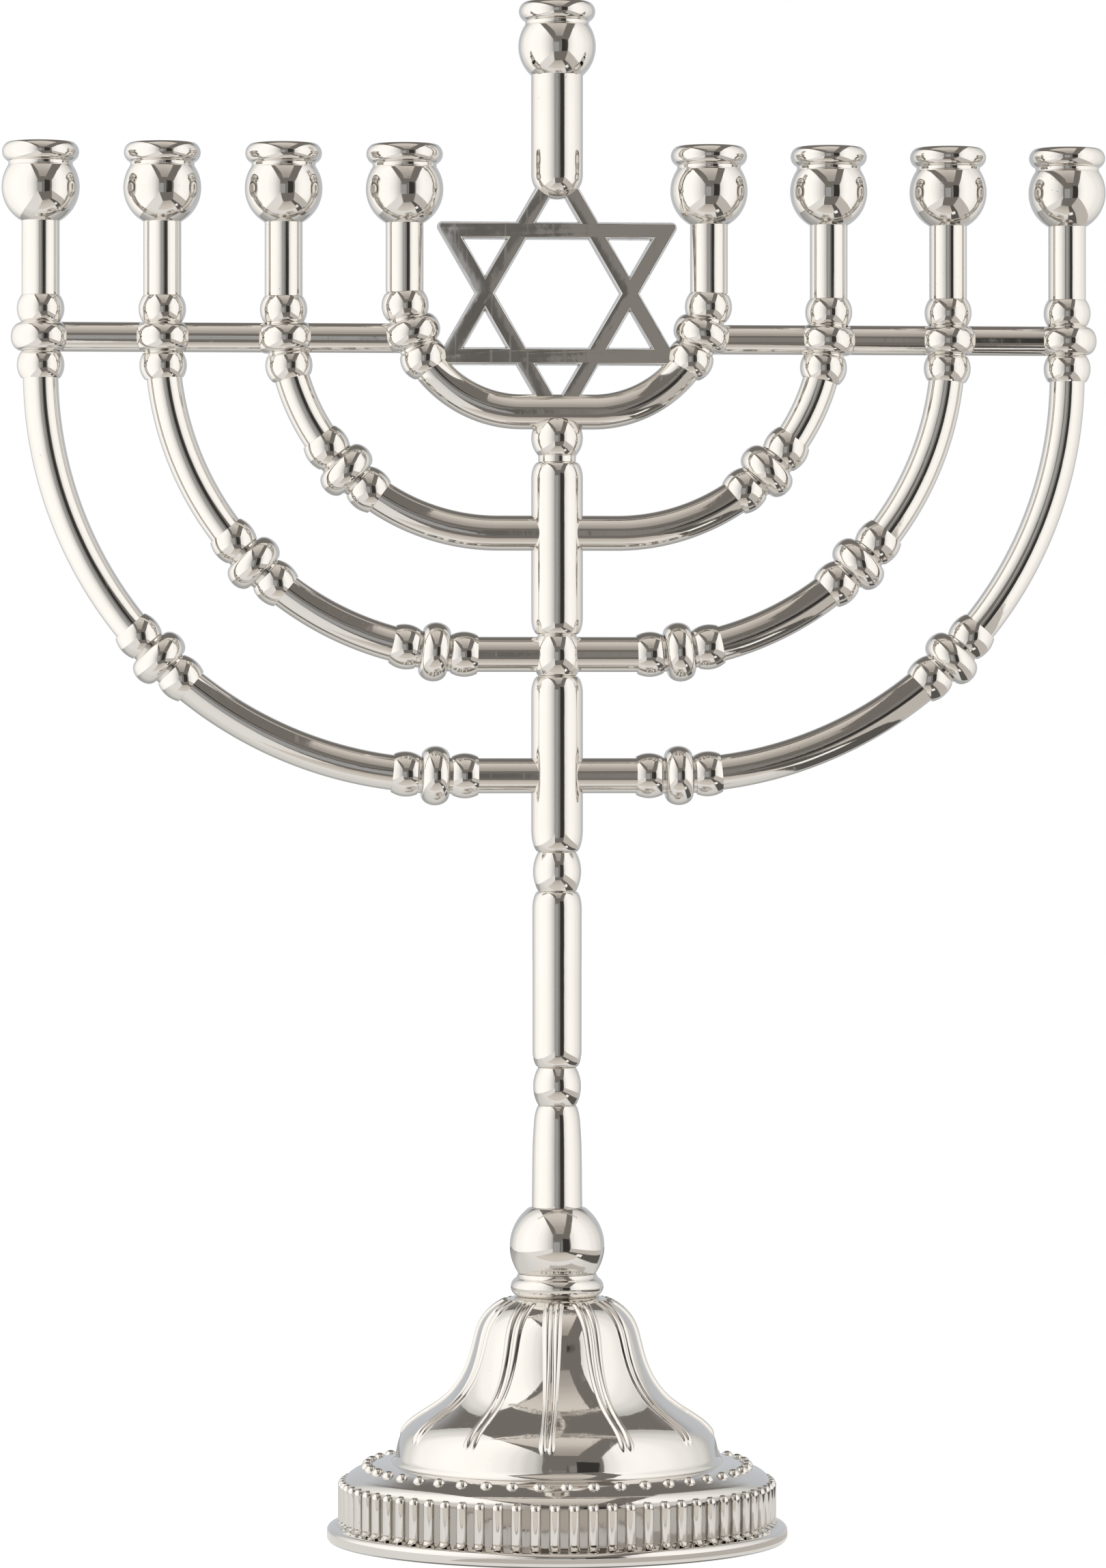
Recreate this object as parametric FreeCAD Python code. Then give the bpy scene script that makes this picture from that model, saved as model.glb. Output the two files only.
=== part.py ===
import FreeCAD, Part
import math
import os

# Nine-branch menorah, in millimetres. The origin is the middle of the underside, +Z is up,
# the eight branches spread along X and the viewer of the front stands on the -Y side.

# Driving dimensions -------------------------------------------------------------------

OVERALL_HEIGHT = 305.3
BRANCH_CUP_TOP = 276.8

# Branches, counted outwards from the column: 1 is the inner pair, 4 the outer pair.
FIRST_BRANCH_X = 30.35
BRANCH_PITCH = 24.0
BRANCHES = (1, 2, 3, 4)

# The four U-shaped arms: height of the bottom run's centre line, and radius of the bends.
ARM_RADIUS = 3.5
ARM_BOTTOM_Z = {1: 223.9, 2: 199.8, 3: 175.7, 4: 151.6}
ARM_BEND = {1: 23.3, 2: 42.5, 3: 61.7, 4: 79.8}

# Knops: bead, disc, bead, threaded on the arms as one sleeve.
KNOP_NECK_RADIUS = 3.65
KNOP_END_RADIUS = 3.85
DISC_RADIUS = 5.9
DISC_HALF_LENGTH = 2.8
BEAD_HALF_LENGTH = 2.6
TOP_BEAD_RADIUS = 4.7
LOW_BEAD_RADIUS = 4.5
TOP_KNOP_PITCH = 5.55
LOW_KNOP_PITCH = 5.9
TOP_KNOP_Z = {1: 239.5, 2: 238.4, 3: 238.4, 4: 238.4}
LOW_KNOP_X = 24.1

# Crossbars between neighbouring branches.
CROSSBAR_RADIUS = 2.95
CROSSBAR_Z = 238.4
CROSSBAR_SPIGOT_RADIUS = 1.5
CROSSBAR_SPIGOT_REACH = 4.3

# Candle cups, measured down from the rim.
CANDLE_RADIUS = 5.1
CANDLE_DEPTH = 11.0
LIP_RADIUS = 7.6
LIP_MIDDLE = 1.8
LIP_NECK = 4.0
CUP_NECK_RADIUS = 6.35
GLOBE_MIDDLE = 8.8
GLOBE_RADIUS = 7.7
BRANCH_PIPE_RADIUS = 3.75
SHAMASH_PIPE_RADIUS = 5.15
SHAMASH_PIPE_END_Z = 266.1
STUD_RADIUS = 1.5
STUD_LENGTH = 6.0

# Star of six points, standing in the XZ plane.
STAR_CENTRE_Z = 247.4
STAR_RADIUS = 28.2
STAR_BAR_WIDTH = 3.6
STAR_FACE_WIDTH = 2.9
STAR_HALF_THICKNESS = 1.7
STAR_TIP_ROUND = 1.1
STAR_FOOT_Z = 223.0

# Heights of the joints between the stem pieces, from the bell upwards.
BELL_TOP_Z = 48.2
COLLAR_TOP_Z = 52.7
BALL_TOP_Z = 65.8
BARREL_SHORT_TOP_Z = 86.1
BEAD_LOWER_TOP_Z = 93.7
BARREL_LONG_TOP_Z = 128.6
BEAD_UPPER_TOP_Z = 136.5
COLUMN_LOWER_TOP_Z = 171.4
MID_BEAD_TOP_Z = 179.6
COLUMN_UPPER_TOP_Z = 213.9
STEM_NECK_RADIUS = 3.75
COLUMN_RADIUS = 5.15
COLUMN_SPIGOT_RADIUS = 2.4
COLUMN_SPIGOT_LENGTH = 5.5

# Foot: plinth and bell.
FLANGE_RADIUS = 45.8
FLANGE_HEIGHT = 3.0
FLUTE_COUNT = 72
FLUTE_FLOOR_RADIUS = 42.5
FLUTE_RADIUS = 1.1
FLUTE_TOP_Z = 12.0
SHOULDER_TOP_Z = 15.5
DOT_COUNT = 45
DOT_RING_RADIUS = 37.7
DOT_RADIUS = 1.3
DOT_CENTRE_Z = 14.3
DOT_START_ANGLE = 6.4
FOOT_WALL = 1.5
COVER_THICKNESS = 1.2
COVER_RADIUS = 43.0
BELL_WALL = 1.4
RIB_PAIRS = 12
RIB_START_ANGLE = -8.0
RIB_RADIUS = 0.8
RIB_SINK = 0.35

# Hardware inside: one M4 rod clamps foot, bell and stem to the column.
TIE_ROD_RADIUS = 2.0
TIE_ROD_CLEARANCE = 2.15
TIE_ROD_BOTTOM_Z = 7.5
TIE_ROD_TOP_Z = 146.0
WASHER_RADIUS = 9.0
WASHER_THICKNESS = 1.2
NUT_ACROSS_FLATS = 7.0
NUT_HEIGHT = 3.2

UP = FreeCAD.Vector(0, 0, 1)
FORWARD = FreeCAD.Vector(0, 1, 0)
ORIGIN = FreeCAD.Vector(0, 0, 0)


# Drawing helpers ----------------------------------------------------------------------

class Outline:
    """Half section of a turned piece, drawn as radius and height, then spun about Z."""

    def __init__(self, r, z):
        self.start = FreeCAD.Vector(r, 0, z)
        self.here = self.start
        self.edges = []

    def to(self, r, z):
        """Straight line to a point."""
        end = FreeCAD.Vector(r, 0, z)
        self.edges.append(Part.makeLine(self.here, end))
        self.here = end
        return self

    def arc(self, middle, end):
        """Circular arc through a middle point."""
        through = FreeCAD.Vector(middle[0], 0, middle[1])
        last = FreeCAD.Vector(end[0], 0, end[1])
        self.edges.append(Part.Arc(self.here, through, last).toShape())
        self.here = last
        return self

    def quarter(self, corner, end):
        """Quarter of an ellipse that rounds off the given corner."""
        last = FreeCAD.Vector(end[0], 0, end[1])
        curve = Part.BezierCurve()
        curve.setPoles([self.here, FreeCAD.Vector(corner[0], 0, corner[1]), last])
        curve.setWeight(2, math.sqrt(0.5))
        self.edges.append(curve.toShape())
        self.here = last
        return self

    def smooth(self, points):
        """Smooth curve through a few points."""
        ends = [FreeCAD.Vector(r, 0, z) for r, z in points]
        curve = Part.BSplineCurve()
        curve.interpolate([self.here] + ends)
        self.edges.append(curve.toShape())
        self.here = ends[-1]
        return self

    def solid(self):
        """Close the outline and spin it."""
        if (self.here - self.start).Length > 1e-6:
            self.edges.append(Part.makeLine(self.here, self.start))
        face = Part.Face(Part.Wire(self.edges))
        return face.revolve(ORIGIN, UP, 360)


def cylinder(radius, bottom_z, top_z):
    """Upright cylinder on the Z axis."""
    return Part.makeCylinder(radius, top_z - bottom_z, FreeCAD.Vector(0, 0, bottom_z))


def bar_along_x(radius, start_x, end_x, z):
    """Level cylinder along X."""
    start = FreeCAD.Vector(start_x, 0, z)
    return Part.makeCylinder(radius, end_x - start_x, start, FreeCAD.Vector(1, 0, 0))


def mirrored(shape):
    """The same shape on the other side of the column."""
    return shape.mirror(ORIGIN, FreeCAD.Vector(1, 0, 0))


def one_solid(shape):
    """The single solid of a boolean result."""
    solids = sorted(shape.Solids, key=lambda solid: solid.Volume)
    return solids[-1]


# Foot ---------------------------------------------------------------------------------

def plinth_body():
    """Hollow foot without its flutes and beads; the rubber disc lies in the step under the rim."""
    inner_wall = FLUTE_FLOOR_RADIUS - FOOT_WALL
    web_bottom = SHOULDER_TOP_Z - FOOT_WALL
    outline = Outline(COVER_RADIUS, 0)
    outline.to(FLANGE_RADIUS - 0.7, 0)
    outline.quarter((FLANGE_RADIUS, 0), (FLANGE_RADIUS, 0.8))
    outline.to(FLANGE_RADIUS, 1.9)
    outline.quarter((FLANGE_RADIUS, FLANGE_HEIGHT), (FLANGE_RADIUS - 1.2, FLANGE_HEIGHT))
    outline.to(FLUTE_FLOOR_RADIUS, FLANGE_HEIGHT + 0.5)
    outline.to(FLUTE_FLOOR_RADIUS, 11.0)
    outline.quarter((FLUTE_FLOOR_RADIUS, 12.6), (40.4, 13.5))
    outline.smooth([(37.7, 14.7), (34.5, SHOULDER_TOP_Z - 0.05), (33.6, SHOULDER_TOP_Z)])
    outline.to(TIE_ROD_CLEARANCE, SHOULDER_TOP_Z)
    outline.to(TIE_ROD_CLEARANCE, web_bottom)
    outline.to(33.0, web_bottom)
    outline.to(39.0, 12.3)
    outline.to(inner_wall, 10.5)
    outline.to(inner_wall, COVER_THICKNESS)
    outline.to(COVER_RADIUS, COVER_THICKNESS)
    return outline.solid()


def plinth_flute():
    """One upright flute with a domed top, at the front of the band."""
    axis = FreeCAD.Vector(0, -FLUTE_FLOOR_RADIUS, FLANGE_HEIGHT)
    dome_z = FLUTE_TOP_Z - FLUTE_RADIUS
    shaft = Part.makeCylinder(FLUTE_RADIUS, dome_z - FLANGE_HEIGHT, axis)
    dome = Part.makeSphere(FLUTE_RADIUS, FreeCAD.Vector(0, -FLUTE_FLOOR_RADIUS, dome_z))
    return shaft.fuse(dome)


def ring_of(shape, count, start_angle=0.0):
    """Copies of a shape set evenly round the Z axis."""
    copies = []
    for index in range(count):
        copy = shape.copy()
        copy.rotate(ORIGIN, UP, start_angle + index * 360.0 / count)
        copies.append(copy)
    return copies


def foot_plinth():
    """Foot with its flange, flutes and ring of beads, as one shell."""
    dot = Part.makeSphere(DOT_RADIUS, FreeCAD.Vector(0, -DOT_RING_RADIUS, DOT_CENTRE_Z))
    dots = ring_of(dot, DOT_COUNT, DOT_START_ANGLE)
    flutes = ring_of(plinth_flute(), FLUTE_COUNT)
    body = plinth_body().multiFuse(flutes + dots)
    web = SHOULDER_TOP_Z - FOOT_WALL
    hollow = Outline(0, COVER_THICKNESS)
    hollow.to(FLUTE_FLOOR_RADIUS - FOOT_WALL, COVER_THICKNESS)
    hollow.to(FLUTE_FLOOR_RADIUS - FOOT_WALL, 10.5).to(39.0, 12.3).to(33.0, web).to(0, web)
    return one_solid(body.cut(hollow.solid()))


def base_cover():
    """Thin rubber disc glued into the step under the foot."""
    return cylinder(COVER_RADIUS - 0.05, 0, COVER_THICKNESS)


BELL_CURVE = [(12.0, 46.5), (15.0, 43.3), (16.4, 39.0), (18.4, 33.0), (22.2, 28.0),
              (27.0, 24.7), (30.6, 21.6), (32.2, 16.6)]


def bell_spline():
    """The bell's outer curve from its flat top to its foot, in the XZ plane."""
    points = [FreeCAD.Vector(8.6, 0, BELL_TOP_Z)]
    points += [FreeCAD.Vector(r, 0, z) for r, z in BELL_CURVE]
    curve = Part.BSplineCurve()
    curve.interpolate(points)
    return curve


def bell_shell():
    """Spun bell: outer curve, a small foot rim and an even wall."""
    outline = Outline(TIE_ROD_CLEARANCE, BELL_TOP_Z)
    outline.to(8.6, BELL_TOP_Z)
    outline.smooth(BELL_CURVE)
    outline.to(33.0, SHOULDER_TOP_Z)
    outline.to(32.2 - BELL_WALL, SHOULDER_TOP_Z)
    inner = [(30.6 - BELL_WALL, 21.0), (26.4, 23.4), (21.2, 26.9), (17.1, 32.4),
             (15.0, 38.9), (13.7, 42.6), (11.2, 45.3)]
    outline.smooth(inner)
    outline.to(8.4, BELL_TOP_Z - BELL_WALL)
    outline.to(TIE_ROD_CLEARANCE, BELL_TOP_Z - BELL_WALL)
    return outline.solid()


def bell_rib(side):
    """One raised rib of the front pair; the pair draws together slightly towards the foot."""
    top_gap, foot_gap = 1.05, 0.78
    curve = bell_spline()
    first = curve.parameter(FreeCAD.Vector(12.2, 0, 46.4))
    last = curve.parameter(FreeCAD.Vector(30.5, 0, 21.7))
    points = []
    steps = 8
    for step in range(steps + 1):
        share = step / steps
        parameter = first + (last - first) * share
        on_curve = curve.value(parameter)
        slope = curve.tangent(parameter)[0]
        inward = FreeCAD.Vector(slope.z, 0, -slope.x) * RIB_SINK
        spot = on_curve + inward
        gap = top_gap + (foot_gap - top_gap) * share
        points.append(FreeCAD.Vector(side * gap, -spot.x, spot.z))
    spine = Part.BSplineCurve()
    spine.interpolate(points)
    start = spine.value(0.0)
    section = Part.Wire(Part.makeCircle(RIB_RADIUS, start, spine.tangent(0.0)[0]))
    rib = Part.Wire(spine.toShape()).makePipeShell([section], True, True)
    caps = [Part.makeSphere(RIB_RADIUS, points[0]), Part.makeSphere(RIB_RADIUS, points[-1])]
    return rib.multiFuse(caps)


def bell():
    """Bell with twelve pairs of ribs."""
    ribs = []
    for side in (-1, 1):
        ribs += ring_of(bell_rib(side), RIB_PAIRS, RIB_START_ANGLE)
    return one_solid(bell_shell().multiFuse(ribs))


# Stem ---------------------------------------------------------------------------------

def collar_ring():
    """Ring that closes the top of the bell under the ball."""
    outline = Outline(TIE_ROD_CLEARANCE, BELL_TOP_Z)
    outline.to(7.9, BELL_TOP_Z)
    outline.arc((9.25, 50.2), (8.5, 51.7))
    outline.quarter((8.0, 51.9), (7.85, COLLAR_TOP_Z))
    outline.to(TIE_ROD_CLEARANCE, COLLAR_TOP_Z)
    return outline.solid()


def stem_ball():
    """Large ball, cut flat where its neighbours sit."""
    radius = 9.45
    middle_z = 58.2
    foot = math.sqrt(radius ** 2 - (middle_z - COLLAR_TOP_Z) ** 2)
    head = math.sqrt(radius ** 2 - (BALL_TOP_Z - middle_z) ** 2)
    outline = Outline(TIE_ROD_CLEARANCE, COLLAR_TOP_Z)
    outline.to(foot, COLLAR_TOP_Z)
    outline.arc((radius, middle_z), (head, BALL_TOP_Z))
    outline.to(TIE_ROD_CLEARANCE, BALL_TOP_Z)
    return outline.solid()


def stem_barrel_short():
    """Short barrel on the ball: crisp below, tapering to a rounded end above."""
    outline = Outline(TIE_ROD_CLEARANCE, BALL_TOP_Z)
    outline.to(5.05, BALL_TOP_Z)
    outline.smooth([(4.98, 72.0), (4.88, 78.5), (4.62, 82.9)])
    outline.quarter((4.4, 85.6), (STEM_NECK_RADIUS, BARREL_SHORT_TOP_Z))
    outline.to(TIE_ROD_CLEARANCE, BARREL_SHORT_TOP_Z)
    return outline.solid()


def stem_bead(bottom_z, top_z, radius):
    """Round bead of the lower stem."""
    outline = Outline(TIE_ROD_CLEARANCE, bottom_z)
    outline.to(STEM_NECK_RADIUS, bottom_z)
    outline.arc((radius, (bottom_z + top_z) / 2), (STEM_NECK_RADIUS, top_z))
    outline.to(TIE_ROD_CLEARANCE, top_z)
    return outline.solid()


def stem_barrel_long():
    """Long barrel between the two stem beads, rounded at both ends."""
    rounding = 3.5
    radius = 4.92
    outline = Outline(TIE_ROD_CLEARANCE, BEAD_LOWER_TOP_Z)
    outline.to(STEM_NECK_RADIUS, BEAD_LOWER_TOP_Z)
    outline.quarter((radius, BEAD_LOWER_TOP_Z), (radius, BEAD_LOWER_TOP_Z + rounding))
    outline.to(radius, BARREL_LONG_TOP_Z - rounding)
    outline.quarter((radius, BARREL_LONG_TOP_Z), (STEM_NECK_RADIUS, BARREL_LONG_TOP_Z))
    outline.to(TIE_ROD_CLEARANCE, BARREL_LONG_TOP_Z)
    return outline.solid()


def column_lower():
    """Barrel that the outer arm passes through; tapped below, bored for a spigot above."""
    bore_floor = COLUMN_LOWER_TOP_Z - COLUMN_SPIGOT_LENGTH
    outline = Outline(0, TIE_ROD_TOP_Z)
    outline.to(TIE_ROD_RADIUS, TIE_ROD_TOP_Z)
    outline.to(TIE_ROD_RADIUS, BEAD_UPPER_TOP_Z)
    outline.to(STEM_NECK_RADIUS, BEAD_UPPER_TOP_Z)
    outline.quarter((COLUMN_RADIUS, BEAD_UPPER_TOP_Z), (COLUMN_RADIUS, BEAD_UPPER_TOP_Z + 4.5))
    outline.to(COLUMN_RADIUS, COLUMN_LOWER_TOP_Z - 3.5)
    outline.quarter((COLUMN_RADIUS, COLUMN_LOWER_TOP_Z), (STEM_NECK_RADIUS, COLUMN_LOWER_TOP_Z))
    outline.to(COLUMN_SPIGOT_RADIUS, COLUMN_LOWER_TOP_Z)
    outline.to(COLUMN_SPIGOT_RADIUS, bore_floor)
    outline.to(0, bore_floor)
    return outline.solid()


def column_upper():
    """Bead and barrel for the third and second arms, with a spigot below and a bore above."""
    spigot_end = COLUMN_LOWER_TOP_Z - COLUMN_SPIGOT_LENGTH
    bore_floor = COLUMN_UPPER_TOP_Z - COLUMN_SPIGOT_LENGTH
    middle_z = (COLUMN_LOWER_TOP_Z + MID_BEAD_TOP_Z) / 2
    outline = Outline(0, spigot_end)
    outline.to(COLUMN_SPIGOT_RADIUS, spigot_end)
    outline.to(COLUMN_SPIGOT_RADIUS, COLUMN_LOWER_TOP_Z)
    outline.to(STEM_NECK_RADIUS, COLUMN_LOWER_TOP_Z)
    outline.arc((5.1, middle_z), (STEM_NECK_RADIUS, MID_BEAD_TOP_Z))
    outline.quarter((COLUMN_RADIUS, MID_BEAD_TOP_Z), (COLUMN_RADIUS, MID_BEAD_TOP_Z + 3.3))
    outline.to(COLUMN_RADIUS, COLUMN_UPPER_TOP_Z - 3.3)
    outline.quarter((COLUMN_RADIUS, COLUMN_UPPER_TOP_Z), (STEM_NECK_RADIUS, COLUMN_UPPER_TOP_Z))
    outline.to(COLUMN_SPIGOT_RADIUS, COLUMN_UPPER_TOP_Z)
    outline.to(COLUMN_SPIGOT_RADIUS, bore_floor)
    outline.to(0, bore_floor)
    return outline.solid()


def column_top_bead():
    """Top bead with its spigot; the inner arm lies in a saddle cut across it."""
    middle_z = 218.7
    radius = 5.15
    neck_z = middle_z - math.sqrt(radius ** 2 - STEM_NECK_RADIUS ** 2)
    spigot_end = COLUMN_UPPER_TOP_Z - COLUMN_SPIGOT_LENGTH
    outline = Outline(0, spigot_end)
    outline.to(COLUMN_SPIGOT_RADIUS, spigot_end)
    outline.to(COLUMN_SPIGOT_RADIUS, COLUMN_UPPER_TOP_Z)
    outline.to(STEM_NECK_RADIUS, COLUMN_UPPER_TOP_Z)
    outline.to(STEM_NECK_RADIUS, neck_z)
    outline.arc((radius, middle_z), (0, middle_z + radius))
    return outline.solid()


def tie_rod():
    """Threaded rod, drawn plain at its outer diameter."""
    return cylinder(TIE_ROD_RADIUS, TIE_ROD_BOTTOM_Z, TIE_ROD_TOP_Z)


def tie_washer():
    """Wide washer under the plinth's web."""
    top = SHOULDER_TOP_Z - FOOT_WALL
    disc = cylinder(WASHER_RADIUS, top - WASHER_THICKNESS, top)
    return disc.cut(cylinder(TIE_ROD_CLEARANCE, 0, BELL_TOP_Z))


def tie_nut():
    """Hexagon nut under the washer."""
    top = SHOULDER_TOP_Z - FOOT_WALL - WASHER_THICKNESS
    corner_radius = NUT_ACROSS_FLATS / math.sqrt(3)
    corners = []
    for index in range(7):
        angle = math.radians(60 * index)
        corner = FreeCAD.Vector(math.cos(angle), math.sin(angle), 0) * corner_radius
        corners.append(corner + FreeCAD.Vector(0, 0, top - NUT_HEIGHT))
    prism = Part.Face(Part.makePolygon(corners)).extrude(UP * NUT_HEIGHT)
    return prism.cut(cylinder(TIE_ROD_RADIUS, 0, BELL_TOP_Z))


# Arms ---------------------------------------------------------------------------------

def branch_x(branch):
    """Distance of a branch from the column."""
    return FIRST_BRANCH_X + (branch - 1) * BRANCH_PITCH


def arm_place(branch, along):
    """Where a point lies on the right half of an arm, and how far the arm leans there.

    The distance is counted along the centre line from the upper end of the bend,
    upwards positive. The lean is in degrees from upright.
    """
    bend = ARM_BEND[branch]
    centre_x = branch_x(branch) - bend
    centre_z = ARM_BOTTOM_Z[branch] + bend
    if along >= 0:
        return FreeCAD.Vector(centre_x + bend, 0, centre_z + along), 0.0
    turn = min(-along / bend, math.pi / 2)
    level = -along - turn * bend
    x = centre_x + bend * math.cos(turn) - level
    z = centre_z - bend * math.sin(turn)
    return FreeCAD.Vector(x, 0, z), math.degrees(turn)


def along_at_height(branch, z):
    """Distance along the arm of the point at a given height."""
    bend = ARM_BEND[branch]
    drop = ARM_BOTTOM_Z[branch] + bend - z
    if drop <= 0:
        return -drop
    return -bend * math.asin(drop / bend)


def along_at_side(branch, x):
    """Distance along the arm of the point at a given distance from the column."""
    bend = ARM_BEND[branch]
    return -bend * math.acos((x - branch_x(branch) + bend) / bend)


def arm_end_z(branch):
    """Height of an arm's ends, level with the top of the knop on it."""
    along = along_at_height(branch, TOP_KNOP_Z[branch]) + TOP_KNOP_PITCH + BEAD_HALF_LENGTH
    return arm_place(branch, along)[0].z


def stud(branch):
    """Stud that screws down into the right end of an arm."""
    base = FreeCAD.Vector(branch_x(branch), 0, arm_end_z(branch) - STUD_LENGTH)
    return Part.makeCylinder(STUD_RADIUS, STUD_LENGTH, base)


def arm_blank(branch):
    """One U-shaped rod, from its left end to its right end."""
    bend = ARM_BEND[branch]
    end = arm_place(branch, along_at_height(branch, arm_end_z(branch)))[0]
    bend_top = arm_place(branch, 0)[0]
    bend_middle = arm_place(branch, -bend * math.pi / 4)[0]
    bend_bottom = arm_place(branch, -bend * math.pi / 2)[0]
    half = []
    if (end - bend_top).Length > 0.01:
        half.append(Part.makeLine(end, bend_top))
    half.append(Part.Arc(bend_top, bend_middle, bend_bottom).toShape())
    foot = Part.makeLine(bend_bottom, FreeCAD.Vector(0, 0, bend_bottom.z))
    half.append(foot)
    section = Part.Wire(Part.makeCircle(ARM_RADIUS, end, UP))
    right = Part.Wire(half).makePipeShell([section], True, True)
    return one_solid(right.fuse(mirrored(right)).removeSplitter())


def arm(branch, blank):
    """An arm with a hole in each end for a cup's stud."""
    return one_solid(blank.cut([stud(branch), mirrored(stud(branch))]))


def placed(shape, branch, along):
    """Put a shape turned about Z onto an arm, square to it."""
    spot, lean = arm_place(branch, along)
    moved = shape.copy()
    moved.rotate(ORIGIN, FORWARD, lean)
    moved.translate(spot)
    return moved


def knop_bead(radius):
    """Bead of a knop, round its own axis."""
    outline = Outline(0, -BEAD_HALF_LENGTH)
    outline.to(KNOP_END_RADIUS, -BEAD_HALF_LENGTH)
    outline.arc((radius, 0), (KNOP_END_RADIUS, BEAD_HALF_LENGTH))
    outline.to(0, BEAD_HALF_LENGTH)
    return outline.solid()


def knop_disc():
    """Disc of a knop with a half-oval rim."""
    outline = Outline(0, -DISC_HALF_LENGTH)
    outline.to(KNOP_END_RADIUS, -DISC_HALF_LENGTH)
    outline.quarter((DISC_RADIUS, -DISC_HALF_LENGTH), (DISC_RADIUS, 0))
    outline.quarter((DISC_RADIUS, DISC_HALF_LENGTH), (KNOP_END_RADIUS, DISC_HALF_LENGTH))
    outline.to(0, DISC_HALF_LENGTH)
    return outline.solid()


def knop_blank(branch, along, pitch, bead_radius):
    """Bead, disc and bead on the right half of an arm, before the arm's hole is cut."""
    neck_length = 1.5
    neck = cylinder(KNOP_NECK_RADIUS, -neck_length / 2, neck_length / 2)
    neck_step = DISC_HALF_LENGTH + (pitch - DISC_HALF_LENGTH - BEAD_HALF_LENGTH) / 2
    parts = [placed(knop_bead(bead_radius), branch, along - pitch)]
    parts.append(placed(knop_bead(bead_radius), branch, along + pitch))
    parts.append(placed(neck, branch, along - neck_step))
    parts.append(placed(neck, branch, along + neck_step))
    return placed(knop_disc(), branch, along).multiFuse(parts)


def knop_blanks():
    """Every knop of the right half by name, as blanks."""
    blanks = {}
    for branch in BRANCHES:
        along = along_at_height(branch, TOP_KNOP_Z[branch])
        blanks["top", branch] = knop_blank(branch, along, TOP_KNOP_PITCH, TOP_BEAD_RADIUS)
    for branch in (2, 3, 4):
        along = -ARM_BEND[branch] * math.pi / 4
        blanks["mid", branch] = knop_blank(branch, along, LOW_KNOP_PITCH, LOW_BEAD_RADIUS)
    for branch in (3, 4):
        along = along_at_side(branch, LOW_KNOP_X)
        blanks["low", branch] = knop_blank(branch, along, LOW_KNOP_PITCH, LOW_BEAD_RADIUS)
    return blanks


def disc_middle(branch):
    """Centre of the disc in a top knop."""
    return arm_place(branch, along_at_height(branch, TOP_KNOP_Z[branch]))[0]


def crossbar(inner, blanks):
    """Stay between two neighbouring branches: shaped ends and a spigot into each disc."""
    outer = inner + 1
    start = disc_middle(inner).x
    end = disc_middle(outer).x
    bar = bar_along_x(CROSSBAR_RADIUS, start, end, CROSSBAR_Z)
    bar = one_solid(bar.cut([blanks["top", inner], blanks["top", outer]]))
    spigot_start = start + CROSSBAR_SPIGOT_REACH
    spigot_end = end - CROSSBAR_SPIGOT_REACH
    spigot = bar_along_x(CROSSBAR_SPIGOT_RADIUS, spigot_start, spigot_end, CROSSBAR_Z)
    return one_solid(bar.fuse(spigot).removeSplitter())


# Star ---------------------------------------------------------------------------------

def triangle(radius, y, turn):
    """Closed triangle about the star's centre, at a distance from its mid plane."""
    corners = []
    for index in range(4):
        angle = math.radians(turn + 120 * index)
        x = radius * math.sin(angle)
        z = STAR_CENTRE_Z + radius * math.cos(angle)
        corners.append(FreeCAD.Vector(x, y, z))
    return Part.makePolygon(corners)


def star_triangle(turn):
    """One triangular frame of the star; its bars are widest at the mid plane."""
    tip = STAR_RADIUS + STAR_TIP_ROUND
    middle = tip - STAR_BAR_WIDTH
    halves = []
    for side in (-1, 1):
        y = side * STAR_HALF_THICKNESS
        slope = STAR_BAR_WIDTH - STAR_FACE_WIDTH
        outside = Part.makeLoft([triangle(tip, 0, turn), triangle(tip - slope, y, turn)], True)
        hole_middle = triangle(tip - 2 * STAR_BAR_WIDTH, 0, turn)
        hole_face = triangle(middle - STAR_BAR_WIDTH + slope, y, turn)
        inside = Part.makeLoft([hole_middle, hole_face], True)
        halves.append(outside.cut(inside))
    return halves[0].fuse(halves[1])


def star():
    """Both triangles in one flat plate, with rounded points, cut off above the inner arm."""
    plate = star_triangle(0).fuse(star_triangle(60)).removeSplitter()
    rim = 3 * STAR_HALF_THICKNESS
    reach = STAR_RADIUS - STAR_TIP_ROUND
    rounds = []
    tips = []
    for index in range(6):
        angle = math.radians(60 * index)
        x = reach * math.sin(angle)
        z = STAR_CENTRE_Z + reach * math.cos(angle)
        base = FreeCAD.Vector(x, -rim, z)
        rounds.append(Part.makeCylinder(STAR_TIP_ROUND, 2 * rim, base, FORWARD))
        block = Part.makeBox(6, 2 * rim, 6, FreeCAD.Vector(-3, -rim, reach + 0.5))
        block.rotate(ORIGIN, FORWARD, 60 * index)
        block.translate(FreeCAD.Vector(0, 0, STAR_CENTRE_Z))
        tips.append(block.cut(rounds[-1]))
    plate = plate.cut(tips)
    below = Part.makeBox(20, 20, 20, FreeCAD.Vector(-10, -10, STAR_FOOT_Z - 20))
    return one_solid(plate.cut(below))


# Cups ---------------------------------------------------------------------------------

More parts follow.
